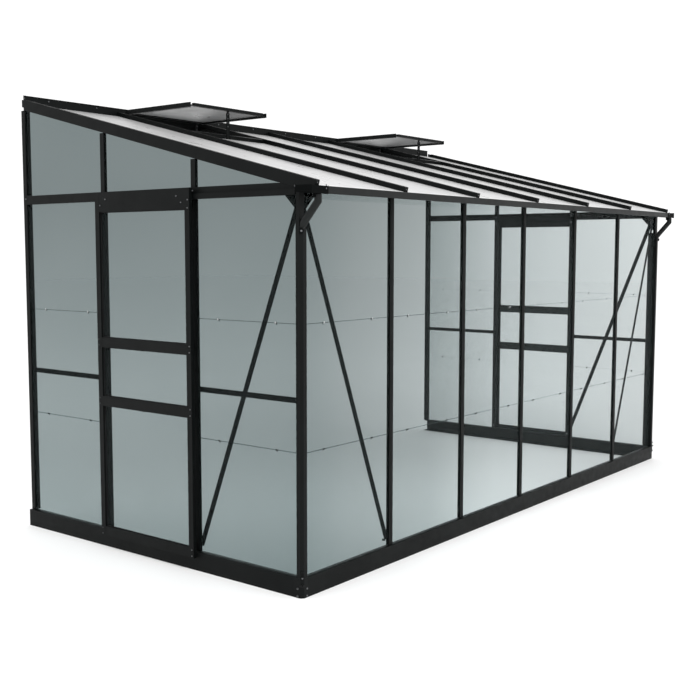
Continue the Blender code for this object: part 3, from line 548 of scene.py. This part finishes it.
def bolt_head(shape, at, axis, radius=0.004, height=0.0028):
    """A pan head with a drive recess, set into its plate by its own height."""
    profile = (
        (0, -height),
        (radius, -height),
        (radius, height * 0.45),
        (radius * 0.82, height * 0.85),
        (radius * 0.42, height),
        (radius * 0.30, height * 0.35),
        (0, height * 0.35),
    )
    lathe(shape, profile, at, axis, sides=14)


def nut(shape, at, axis, radius=0.0062, height=0.0045, sunk=0.001):
    """A hexagon nut with the end of its bolt."""
    profile = (
        (0, -sunk),
        (radius, -sunk),
        (radius, height * 0.85),
        (radius * 0.88, height),
        (radius * 0.48, height),
        (radius * 0.46, height * 1.5),
        (0, height * 1.5),
    )
    lathe(shape, profile, at, axis, sides=6)


def piece(name, shape, looks, body="frame", smooth=30):
    """Turns the gathered shape into one object that rides on a body."""
    bmesh.ops.recalc_face_normals(shape, faces=shape.faces)
    mesh = bpy.data.meshes.new(name)
    shape.to_mesh(mesh)
    shape.free()
    for look in looks:
        mesh.materials.append(look)
    mesh.shade_smooth()
    mesh.set_sharp_from_angle(angle=math.radians(smooth))
    made = bpy.data.objects.new(name, mesh)
    scene.collection.objects.link(made)
    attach(made, body)
    return made


class Wall:
    """A glazed plane: points are given by distance along it, distance outward and height."""

    def __init__(self, origin, along, outward):
        self.origin = Vector(origin)
        self.along = Vector(along)
        self.outward = Vector(outward)
        self.axes = (self.along, self.outward, UP)

    def at(self, along, out, height):
        return self.origin + self.along * along + self.outward * out + UP * height

    def slab(self, shape, alongs, outs, heights, edge=0.0004, look=0):
        centre = self.at(sum(alongs) / 2, sum(outs) / 2, sum(heights) / 2)
        size = [abs(b - a) for a, b in (alongs, outs, heights)]
        block(shape, centre, self.axes, size, edge, look)


FRONT = Wall((-HALF_LENGTH, FRONT_Y, 0), (1, 0, 0), (0, -1, 0))
GABLES = {word: Wall((side * HALF_LENGTH, FRONT_Y, 0), (0, 1, 0), (side, 0, 0)) for side, word in SIDES}


def span_of(node, wall):
    """Where a node starts and ends along its wall."""
    low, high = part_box(node)
    if wall is FRONT:
        return low.x + HALF_LENGTH, high.x + HALF_LENGTH
    return low.y - FRONT_Y, high.y - FRONT_Y


def corner_along(side):
    """Where a side's corner lies along the front."""
    return 0.0 if side < 0 else 2 * HALF_LENGTH


def corner_face(gable):
    """The outward direction of a corner block's slanted face, and its middle at ground level."""
    slant = (gable.outward + FRONT.outward).normalized()
    return slant, gable.at(-BASE_OUT_FRONT + CHAMFER / 2, BASE_OUT_GABLE - CHAMFER / 2, 0)


def roof_at(x, distance, above):
    """A point this far behind the front bars, this high off the rafter caps' top line."""
    return Vector((x, FRONT_Y + distance, ROOF_TOP + ROOF_RISE * distance)) + SLOPE_UP * above


def roof_strip(shape, x, outline, start, end):
    """An outline of (across, above the caps) run up the slope."""
    corners = [roof_at(x + a, start, b) for a, b in outline]
    prism(shape, corners, SLOPE_RUN * (end - start) / math.cos(SLOPE))


# Looks of the solids that the scene keeps
for name, node in nodes.items():
    if "glass" in name:
        look = WALL_GLASS
    elif name.startswith("vent_panel"):
        look = VENT_SHEET
    elif "panel" in name:
        look = ROOF_SHEET
    elif name.startswith("gutter_outlet"):
        look = OUTLET_COAT
    elif name.startswith(("gutter", "downpipe")):
        look = GUTTER_COAT
    else:
        look = BLACK_COAT
    node.data.materials.clear()
    node.data.materials.append(look)


def lapped_panes(name, wall):
    """Three panes, each above the first leaning out over the one below it."""
    low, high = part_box(name)
    start, end = span_of(name, wall)
    half = GLASS / 2
    shape = bmesh.new()
    levels = (low.z, *LAP_HEIGHTS, high.z)
    for n, (bottom, top) in enumerate(zip(levels, levels[1:])):
        lean = GLASS + PANE_GAP if n else 0.0
        head = LAP if n < len(LAP_HEIGHTS) else 0.0
        corners = (
            wall.at(start, lean - half, bottom),
            wall.at(start, lean + half, bottom),
            wall.at(start, half, top + head),
            wall.at(start, -half, top + head),
        )
        faces = prism(shape, corners, wall.along * (end - start))
        # The cut edges at the pane's foot and head
        for cut in (faces[2], faces[4]):
            cut.material_index = 1
    panes = piece(name + "_panes", shape, (WALL_GLASS, GLASS_EDGE))
    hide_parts(name)


def lap_clips(shape, wall, start):
    """Spring clips: each hooks over the lower pane's head and under the upper pane's foot.

    The upper lap's clips are bright and the lower lap's are dark.
    """
    half = CLIP_WIDTH / 2
    front = CLIP_OUT + CLIP_METAL
    face = GLASS / 2
    between = face + 0.0003
    fold = 0.001
    back = -face - fold
    for look, height in enumerate(LAP_HEIGHTS[::-1]):
        hook = height - 0.002
        head = height + LAP
        for place in CLIP_PLACES:
            across = (start + place - half, start + place + half)
            wall.slab(shape, across, (CLIP_OUT, front), (hook, height + 0.006), 0.0002, look)
            wall.slab(shape, across, (face, front), (hook, height - fold), 0.0002, look)
            wall.slab(shape, across, (face, between), (height - fold, head + fold), 0.0001, look)
            wall.slab(shape, across, (back, between), (head, head + fold), 0.0002, look)
            wall.slab(shape, across, (back, back + 0.0007), (head - 0.009, head + fold), 0.0002, look)


def glaze():
    """Lapped panes in every wall bay, with their clips, and a tinted strip over each front bay's head that
    paints a shadow line under the gutter.
    """
    clips = bmesh.new()
    for n in range(BAYS_LONG):
        lapped_panes(f"front_glass_{n + 1}", FRONT)
        lap_clips(clips, FRONT, n * BAY)
    for word, wall in GABLES.items():
        for part, bay in (("front", 0), ("back", BAYS_DEEP - 1)):
            lapped_panes(f"gable_glass_{part}_{word}", wall)
            lap_clips(clips, wall, bay * BAY)
    piece("lap_clips", clips, (STEEL, RUBBER))
    # Painted shadow line: a tinted strip across the top of each front pane
    strips = bmesh.new()
    inset = 0.001
    outs = (CLIP_OUT, CLIP_OUT + HEAD_SHADOW_STRIP_SKIN)
    for n in range(BAYS_LONG):
        name = f"front_glass_{n + 1}"
        start, end = span_of(name, FRONT)
        top = high_of(name, 2)
        heights = (top - HEAD_SHADOW_STRIP_DROP, top - 0.0005)
        FRONT.slab(strips, (start + inset, end - inset), outs, heights, 0.0003)
    piece("head_shadow_strips", strips, (HEAD_SHADOW_STRIP,))


def bar_detail():
    """Raised spines on the glazing bars, and the nuts of their crop-head bolts inside."""
    spines = bmesh.new()
    nuts = bmesh.new()
    wide = 0.0050
    ease = 0.0010
    root = BAR_OUT - 0.0004
    crest = BAR_OUT + ease
    gap = 0.002
    rows = [(FRONT, n * BAY, GLASS_TOP) for n in range(1, BAYS_LONG)]
    for gable in GABLES.values():
        rows += [(gable, n * BAY, GIRT_LOW) for n in range(1, BAYS_DEEP)]
    for wall, place, top in rows:
        outline = (
            (place - wide, root),
            (place - wide + ease, crest),
            (place + wide - ease, crest),
            (place + wide, root),
        )
        foot = BASE_TOP + gap
        prism(spines, [wall.at(a, b, foot) for a, b in outline], UP * (top - BASE_TOP - 2 * gap))
        for height in (BASE_TOP + 0.022, top - 0.024):
            nut(nuts, wall.at(place, -BAR_IN, height), -wall.outward)
    piece("bar_spines", spines, (BLACK_COAT,))
    piece("bar_nuts", nuts, (SCREW,), smooth=20)


def base_rails():
    """Base rails with a narrow rolled ledge, where a full flange would shade the glass's foot."""
    skin = BASE_SKIN
    runs = [("base_rail_front", FRONT, BASE_OUT_FRONT)]
    runs += [(f"base_rail_{word}", gable, BASE_OUT_GABLE) for word, gable in GABLES.items()]
    for name, wall, out in runs:
        start, end = span_of(name, wall)
        top = high_of(name, 2)
        section = (
            (out, 0.0),
            (out - BASE_FLANGE, 0.0),
            (out - BASE_FLANGE, skin),
            (out - skin, skin),
            (out - skin, top - skin),
            (-LEDGE_IN + skin * 0.6, top - skin),
            (-LEDGE_IN + skin * 0.6, top - skin * 2.6),
            (-LEDGE_IN, top - skin * 2.6),
            (-LEDGE_IN, top - skin * 0.4),
            (-LEDGE_IN + skin * 0.4, top),
            (out - skin * 0.7, top),
            (out - skin * 0.2, top - skin * 0.2),
            (out, top - skin * 0.7),
        )
        shape = bmesh.new()
        prism(shape, [wall.at(start, a, b) for a, b in section], wall.along * (end - start))
        rail = piece(name + "_rolled", shape, (BLACK_COAT,), smooth=50)
        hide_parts(name)


def base_beads(shape):
    """Two rolled beads along the outside of each base rail."""
    depth = high_of("base_rail_left", 1) - FRONT_Y
    runs = [(FRONT, BASE_OUT_FRONT, 0.015, 2 * HALF_LENGTH - 0.015)]
    runs += [(gable, BASE_OUT_GABLE, 0.032, depth - 0.002) for gable in GABLES.values()]
    for wall, out, start, end in runs:
        for height, radius in ((BASE_TOP - 0.0022, 0.0020), (0.0125, 0.0014)):
            ring = []
            for step in range(7):
                angle = math.radians(-90 + 30 * step)
                bulge = radius * 0.6 * math.cos(angle)
                ring.append(wall.at(start, out - 0.0004 + bulge, height + radius * math.sin(angle)))
            prism(shape, ring, wall.along * (end - start))


def base_detail():
    """Beads on the base rails, and the corner blocks' bolts, cover plates, studs and slots."""
    beads = bmesh.new()
    bolts = bmesh.new()
    slots = bmesh.new()
    base_beads(beads)
    lug = (
        (0, -0.004),
        (0.0042, -0.004),
        (0.0042, LUG_REACH - 0.0015),
        (0.0030, LUG_REACH),
        (0, LUG_REACH),
    )
    for side, word in SIDES:
        gable = GABLES[word]
        along = corner_along(side) - side * 0.0057
        for height in (0.0075, 0.0385):
            bolt_head(bolts, FRONT.at(along, BASE_OUT_FRONT, height), FRONT.outward, 0.0042)
        for height in (0.009, 0.040):
            bolt_head(bolts, gable.at(0.004, BASE_OUT_GABLE, height), gable.outward, 0.0042, 0.0060)
        slant, face = corner_face(gable)
        sideways = slant.cross(UP)
        cover = [face + sideways * a + slant * b + UP * COVER_FOOT for a, b in COVER_OUTLINE]
        prism(beads, cover, UP * COVER_TALL)
        for height in LUG_HEIGHTS:
            lathe(beads, lug, face + UP * height, slant, sides=12)
        bolt_head(bolts, face + slant * LUG_REACH + UP * LUG_HEIGHTS[1], slant, 0.0036)
        oval = []
        for step in range(SLOT_SIDES):
            angle = 2 * math.pi * step / SLOT_SIDES
            wide = sideways * SLOT_HALF_WIDTH * math.cos(angle)
            rise = UP * (SLOT_MIDDLE + SLOT_HALF_HEIGHT * math.sin(angle))
            oval.append(face + wide + slant * 0.0006 + rise)
        prism(slots, oval, slant * -0.004)
    piece("base_beads", beads, (BLACK_COAT,))
    piece("base_bolts", bolts, (SCREW,))
    piece("base_slots", slots, (RUBBER,))


def post_returns():
    """The corner posts' inner flanges along the gables, each with a folded lip."""
    root = BAR_IN - 0.0015
    outer = -BAR_IN + 0.0005
    inner = -BAR_IN - RETURN_SKIN
    outline = (
        (root, outer),
        (POST_RETURN, outer),
        (POST_RETURN, -RETURN_LIP),
        (POST_RETURN - RETURN_SKIN, -RETURN_LIP),
        (POST_RETURN - RETURN_SKIN, inner),
        (root, inner),
    )
    foot = BASE_TOP + 0.0005
    shape = bmesh.new()
    for wall in GABLES.values():
        prism(shape, [wall.at(a, b, foot) for a, b in outline], UP * (GIRT_LOW - RETURN_HEAD_GAP - foot))
    piece("post_returns", shape, (BLACK_COAT,))


def corner_bolts():
    """Bolts through the gussets, the braces and the ends of the girts, with nuts inside."""
    heads = bmesh.new()
    nuts = bmesh.new()
    seat = -BAR_IN + 0.003
    behind_gusset = -BAR_IN - 0.003
    behind_brace = -BAR_IN - 0.0033
    brace_foot = 0.112
    gable_gusset = ((0.049, GIRT_LOW - 0.010), (0.022, GIRT_LOW - 0.050), (0.078, GIRT_LOW - 0.012))
    front_gusset = ((0.040, GLASS_TOP - 0.033), (0.020, GLASS_TOP - 0.066))
    gable_brace = ((0.024, GIRT_LOW - 0.040), (BAY - 0.009, brace_foot))
    front_brace = ((0.024, GLASS_TOP - 0.061), (BAY - 0.031, brace_foot))
    girt_mid = (GIRT_LOW + GIRT_HIGH) / 2
    for side, word in SIDES:
        gable = GABLES[word]
        corner = corner_along(side)
        for along, height in gable_gusset:
            bolt_head(heads, gable.at(along, seat, height), gable.outward, 0.0042)
        for along, height in front_gusset:
            place = corner - side * along
            bolt_head(heads, FRONT.at(place, seat, height), FRONT.outward, 0.0036, 0.0012)
            nut(nuts, FRONT.at(place, behind_gusset, height), -FRONT.outward)
        for along, height in gable_brace:
            nut(nuts, gable.at(along, behind_brace, height), -gable.outward)
            bolt_head(heads, gable.at(along, seat, height), gable.outward, 0.0045)
        for along, height in front_brace:
            place = corner - side * along
            nut(nuts, FRONT.at(place, behind_brace, height), -FRONT.outward)
            bolt_head(heads, FRONT.at(place, seat, height), FRONT.outward, 0.0045)
        for bay in range(BAYS_DEEP + 1):
            place = min(max(bay * BAY, 0.022), BAYS_DEEP * BAY - 0.010)
            bolt_head(heads, gable.at(place, 0.0125, girt_mid + 0.006), gable.outward, 0.0040)
            nut(nuts, gable.at(place, -BAR_IN, girt_mid), -gable.outward)
    piece("corner_heads", heads, (SCREW,))
    piece("corner_nuts", nuts, (SCREW,), smooth=20)


def roof_detail():
    """Ribs, end caps and screws on the rafters, and the strips that close the sheets' front edges."""
    ribs = bmesh.new()
    screws = bmesh.new()
    strips = bmesh.new()
    half = RAFTER_WIDTH / 2
    gable_half = 0.012
    gable_end = GABLE_RAFTER_BACK - FRONT_Y - 0.012
    rib = 0.0085
    ease = 0.0012
    crest = 0.0011
    plate = 0.0016
    for n in range(BAYS_LONG + 1):
        x = -HALF_LENGTH + n * BAY
        end = gable_end if n in (0, BAYS_LONG) else RIDGE_FACE
        left = -gable_half if n == 0 else -half
        right = gable_half if n == BAYS_LONG else half
        for low, high in ((left, left + rib), (right - rib, right)):
            outline = ((low, -0.0004), (low + ease, crest), (high - ease, crest), (high, -0.0004))
            roof_strip(ribs, x, outline, -RAFTER_TAIL, end)
        centre = roof_at(x + (left + right) / 2, -RAFTER_TAIL, -CAP_HEIGHT / 2)
        size = (right - left - 0.001, plate, CAP_HEIGHT - 0.001)
        block(ribs, centre, (ACROSS, SLOPE_RUN, SLOPE_UP), size)
        bolt_head(screws, centre - SLOPE_RUN * (plate / 2), -SLOPE_RUN, 0.0030, 0.0016)
    wide = BAY / 2 - half - 0.0006
    skin = 0.0009
    top = -CAP_HEIGHT - 0.0003
    outside = -PANEL_TAIL - 0.0012
    inside = -PANEL_TAIL - 0.0002
    cover = -PANEL_TAIL + 0.0140
    outline = (
        (outside, top + skin),
        (cover, top + skin),
        (cover, top),
        (inside, top),
        (inside, top - SHEET),
        (cover, top - SHEET),
        (cover, top - SHEET - skin),
        (outside, top - SHEET - skin),
    )
    for n in range(BAYS_LONG):
        x = -HALF_LENGTH + (n + 0.5) * BAY
        corners = []
        for along, above in outline:
            corners.append(roof_at(x - wide, -PANEL_TAIL, above) + SLOPE_RUN * (along + PANEL_TAIL))
        prism(strips, corners, ACROSS * 2 * wide)
    piece("rafter_ribs", ribs, (BLACK_COAT,))
    piece("rafter_screws", screws, (SCREW,))
    piece("sheet_edge_strips", strips, (EDGE_STRIP,))


def ridge_detail():
    """A folded lip and a wall seal along the ridge beam, its wall screws, end plates and end cleats."""
    lip = bmesh.new()
    seal = bmesh.new()
    screws = bmesh.new()
    low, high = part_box("roof_bars")
    top = high.z
    back = high.y
    lip_outline = (
        (back - 0.0200, top - 0.0060),
        (back - 0.0215, top - 0.0060),
        (back - 0.0215, top + 0.0006),
        (back - 0.0020, top + 0.0012),
        (back - 0.0020, top - 0.0002),
        (back - 0.0200, top - 0.0006),
    )
    seal_outline = (
        (back - 0.004, top),
        (back - 0.0005, top),
        (back - 0.0005, top + 0.004),
        (back - 0.002, top + 0.004),
    )
    for shape, outline in ((lip, lip_outline), (seal, seal_outline)):
        prism(shape, [Vector((low.x, y, z)) for y, z in outline], ACROSS * (high.x - low.x))
    for n in range(2 * BAYS_LONG):
        x = -HALF_LENGTH + (n + 0.5) * BAY / 2
        bolt_head(screws, Vector((x, back - RIDGE_DEEP, top - 0.014)), FORWARD, 0.0042)
    plate = 0.0016
    plate_y = back - 0.0105
    near = GABLE_RAFTER_BACK - 0.030
    far = back - 0.0212
    cleat = ((near, -0.003), (far, -0.003), (far, -0.040), (near, -0.040))
    for side, x in ((-1, low.x), (1, high.x)):
        centre = Vector((x, plate_y, (RIDGE_UNDER + top) / 2))
        block(lip, centre, SQUARE, (plate, 0.0190, top - RIDGE_UNDER - 0.002))
        for height in (RIDGE_UNDER + 0.012, top - 0.012):
            spot = Vector((x + side * (plate / 2), plate_y, height))
            bolt_head(screws, spot, (side, 0, 0), 0.0032, 0.0018)
        corner = Vector((side * HALF_LENGTH, 0, 0))
        corners = []
        for y, lift in cleat:
            corners.append(corner + Vector((-0.0090, y, roof_at(0, y - FRONT_Y, 0).z + lift)))
        prism(lip, corners, ACROSS * 0.018)
    piece("ridge_lip", lip, (BLACK_COAT,))
    piece("ridge_seal", seal, (RUBBER,))
    piece("ridge_screws", screws, (SCREW,))


def gutter_detail():
    """Pipe collars, seams and screws on the outlets, mitred pipes, and bosses on the corner posts."""
    rims = bmesh.new()
    screws = bmesh.new()
    bore = PIPE_RADIUS - 0.0020
    swell = PIPE_RADIUS + 0.0020
    collar = (
        (bore, -0.010),
        (PIPE_RADIUS + 0.0012, -0.010),
        (swell, -0.008),
        (swell, 0.001),
        (bore, 0.001),
        (bore, -0.010),
    )
    boss = ((0, -0.002), (0.0100, -0.002), (0.0100, 0.0080), (0.0085, BOSS_REACH), (0, BOSS_REACH))
    for side, word in SIDES:
        low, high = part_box(f"gutter_outlet_{word}")
        x = side * (HALF_LENGTH + PIPE_OUT)
        pipe_top = Vector((x, FRONT_Y - PIPE_FORWARD, high_of(f"downpipe_{word}", 2)))
        lathe(rims, collar, pipe_top, UP, sides=24)
        inner = high.x if side < 0 else low.x
        seam = Vector((inner - side * -0.0030, low.y + 0.0002, (high.z + low.z) / 2 + 0.006))
        block(rims, seam, SQUARE, (0.0030, 0.0012, 0.026))
        for height in (0.012, 0.026):
            spot = Vector((inner + side * 0.014, low.y, low.z + 0.014 + height))
            bolt_head(screws, spot, FORWARD, 0.0030, 0.0016)
        slant, face = corner_face(GABLES[word])
        lathe(rims, boss, face + UP * BOSS_HEIGHT, slant)
        bolt_head(screws, face + UP * BOSS_HEIGHT + slant * BOSS_REACH, slant, 0.0045, 0.0025)
        mitred_pipe(word, x)
    piece("outlet_rims", rims, (OUTLET_COAT,))
    piece("outlet_screws", screws, (SCREW,))


def mitred_pipe(word, x):
    """The downpipe as two straight lengths that meet in a sharp mitre, a little forward of its solid."""
    low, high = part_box(f"downpipe_{word}")
    top = Vector((x, FRONT_Y - PIPE_FORWARD - PIPE_LEAN, high.z + 0.0015))
    bend = Vector((x, top.y, PIPE_BEND))
    foot = Vector((x, high.y - 0.005, low.z + PIPE_RADIUS * 0.85))
    slope = (foot - bend).normalized()
    mitre = (DOWN + slope).normalized()
    shape = bmesh.new()
    rings = []
    for centre, run, plane in ((top, DOWN, DOWN), (bend, slope, mitre), (foot, slope, BACK)):
        up = run.cross(ACROSS)
        ring = []
        for step in range(PIPE_SIDES):
            angle = 2 * math.pi * (step + 0.5) / PIPE_SIDES
            spot = centre + ACROSS * PIPE_RADIUS * math.cos(angle) + up * PIPE_RADIUS * math.sin(angle)
            spot += run * ((centre - spot).dot(plane) / run.dot(plane))
            ring.append(shape.verts.new(spot))
        rings.append(ring)
    for first, second in zip(rings, rings[1:]):
        for step in range(PIPE_SIDES):
            after = (step + 1) % PIPE_SIDES
            shape.faces.new((first[step], first[after], second[after], second[step]))
    shape.faces.new(rings[0][::-1])
    shape.faces.new(rings[-1])
    pipe = piece(f"mitred_pipe_{word}", shape, (GUTTER_COAT,), smooth=38)
    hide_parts(f"downpipe_{word}")


def vent_detail():
    """Hinge barrels and plates, the stays' brackets, flanges and catches, and screws in the vents' rails."""
    metalwork = bmesh.new()
    screws = bmesh.new()
    wide = BAY / 2 - RAFTER_WIDTH / 2 - 0.004
    knuckles = 9
    run = 2 * wide / knuckles - 0.0015
    knuckle = ((0, 0), (0.0042, 0), (0.0042, run), (0, run))
    ridge_y = FRONT_Y + RIDGE_FACE
    for number, n in enumerate(VENT_BAYS, 1):
        low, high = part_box(f"vent_{number}")
        sill_low, sill_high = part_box(f"vent_sill_{number}")
        x = -HALF_LENGTH + (n + 0.5) * BAY
        for step in range(knuckles):
            start = x - wide + 2 * wide * step / knuckles
            barrel = Vector((start, ridge_y - 0.0045, low.z + 0.0062))
            lathe(metalwork, knuckle, barrel, ACROSS, sides=12)
        bracket_z = sill_low.z + 0.022
        rail_out = (high.x - low.x) / 2 - VENT_RAIL / 2
        for sign in (-1, 1):
            bracket_x = x + sign * 0.024
            bracket = Vector((bracket_x, sill_low.y - 0.0008, bracket_z))
            block(metalwork, bracket, SQUARE, (0.016, 0.0020, 0.020))
            bolt_head(screws, Vector((bracket_x, sill_low.y - 0.0016, bracket_z)), FORWARD, 0.0034)
            for end in (low.y + VENT_RAIL / 2, high.y - VENT_RAIL * 2.4):
                bolt_head(screws, Vector((x + sign * rail_out, end, low.z)), DOWN, 0.0034, 0.0018)
        for sign in (-1, 1):
            spot = Vector((x + sign * (wide - 0.012), ridge_y - 0.0012, low.z - 0.016))
            block(metalwork, spot, SQUARE, (0.018, 0.0030, 0.034), 0.0008, look=1)
            for rise in (-0.009, 0.008):
                bolt_head(screws, spot + Vector((0, -0.0014, rise)), FORWARD, 0.0036)
        stay_y = sill_low.y + 0.0004
        stay_low = sill_high.z - 0.150
        for sign in (-1, 1):
            flange = Vector((x + sign * 0.0085, stay_y + 0.001, (stay_low + low.z) / 2))
            block(metalwork, flange, SQUARE, (0.0032, 0.0080, low.z - stay_low - 0.004), 0.0005)
        for step in range(4):
            height = sill_high.z - 0.016 - 0.022 * step
            bolt_head(screws, Vector((x, stay_y, height)), FORWARD, 0.0030, 0.0009)
    piece("vent_fittings", metalwork, (BLACK_COAT, NYLON))
    piece("vent_screws", screws, (SCREW,))


def door_detail(side, word):
    """Header and rail screws, pane stops and gaskets, brush strips and foot guides of one door."""
    gable = GABLES[word]
    body = word + "_door"
    screws = bmesh.new()
    gaskets = bmesh.new()
    fittings = bmesh.new()
    brush = bmesh.new()
    low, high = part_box(f"door_frame_{word}")
    outer = abs(high.x if side > 0 else low.x) - HALF_LENGTH
    start = low.y - FRONT_Y
    end = high.y - FRONT_Y
    header_low = high.z - DOOR_HEADER
    for along, height in DOOR_HEAD_SCREWS:
        bolt_head(screws, gable.at(start + along, outer, high.z - height), gable.outward, 0.0036)
    for rail in DOOR_RAIL_MIDDLES:
        for step in (-0.014, 0.014):
            for along, radius in ((start + 0.010, 0.0032), (end - 0.010, 0.0024)):
                bolt_head(screws, gable.at(along, outer, rail + step), gable.outward, radius)
    stop_middle = (start + end) / 2 + 0.005
    stop_along = (stop_middle - 0.009, stop_middle + 0.009)
    for edge, sign in DOOR_STOPS:
        stop = sorted((edge - sign * 0.002, edge + sign * 0.0035))
        gable.slab(fittings, stop_along, (outer - 0.012, outer - 0.0015), stop, 0.0006)
    near = start + DOOR_STILE
    far = end - DOOR_STILE
    tuck = 0.001
    show = 0.0035
    for bottom, top in zip(DOOR_PANE_FEET, (*DOOR_PANE_HEADS, header_low)):
        for alongs, heights in (
            ((near - tuck, near + show), (bottom, top)),
            ((far - show, far + tuck), (bottom, top)),
            ((near, far), (bottom - tuck, bottom + show)),
            ((near, far), (top - show, top + tuck)),
        ):
            gable.slab(gaskets, alongs, (outer - 0.0138, outer - 0.0090), heights, 0.0006)
    brush_outs = (outer - 0.0212, outer - 0.0168)
    for along in (start + 0.004, end - 0.004):
        alongs = (along - 0.0025, along + 0.0025)
        gable.slab(brush, alongs, brush_outs, (low.z + 0.010, header_low), 0.0003)
    guide_outs = (outer - 0.0200, outer - 0.0165)
    for along in (start + 0.060, end - 0.060):
        alongs = (along - 0.014, along + 0.014)
        gable.slab(fittings, alongs, guide_outs, (low.z - 0.0045, low.z + 0.020), 0.0008)
    piece(f"door_screws_{word}", screws, (SCREW,), body)
    piece(f"door_gaskets_{word}", gaskets, (RUBBER,), body)
    piece(f"door_brushes_{word}", brush, (BRISTLE,), body)
    piece(f"door_fittings_{word}", fittings, (RUBBER,), body)


glaze()
bar_detail()
base_rails()
base_detail()
post_returns()
corner_bolts()
roof_detail()
ridge_detail()
gutter_detail()
vent_detail()
for side, word in SIDES:
    door_detail(side, word)

# Floor
FLOOR_SIZE = 80.0
FLOOR_CLOUDS = 0.6
floor_look, tree, shader = node_material("floor")
floor_noise = noise(tree, coordinates(tree), FLOOR_CLOUDS, detail=2.0)
pale = clouded(tree, floor_noise, (0.965, 0.965, 0.965), (0.985, 0.985, 0.985))
tree.links.new(pale, shader.inputs["Base Color"])
shader.inputs["Roughness"].default_value = 0.9
bpy.ops.mesh.primitive_plane_add(size=FLOOR_SIZE)
floor = bpy.context.active_object
floor.name = "floor"
floor.data.materials.append(floor_look)
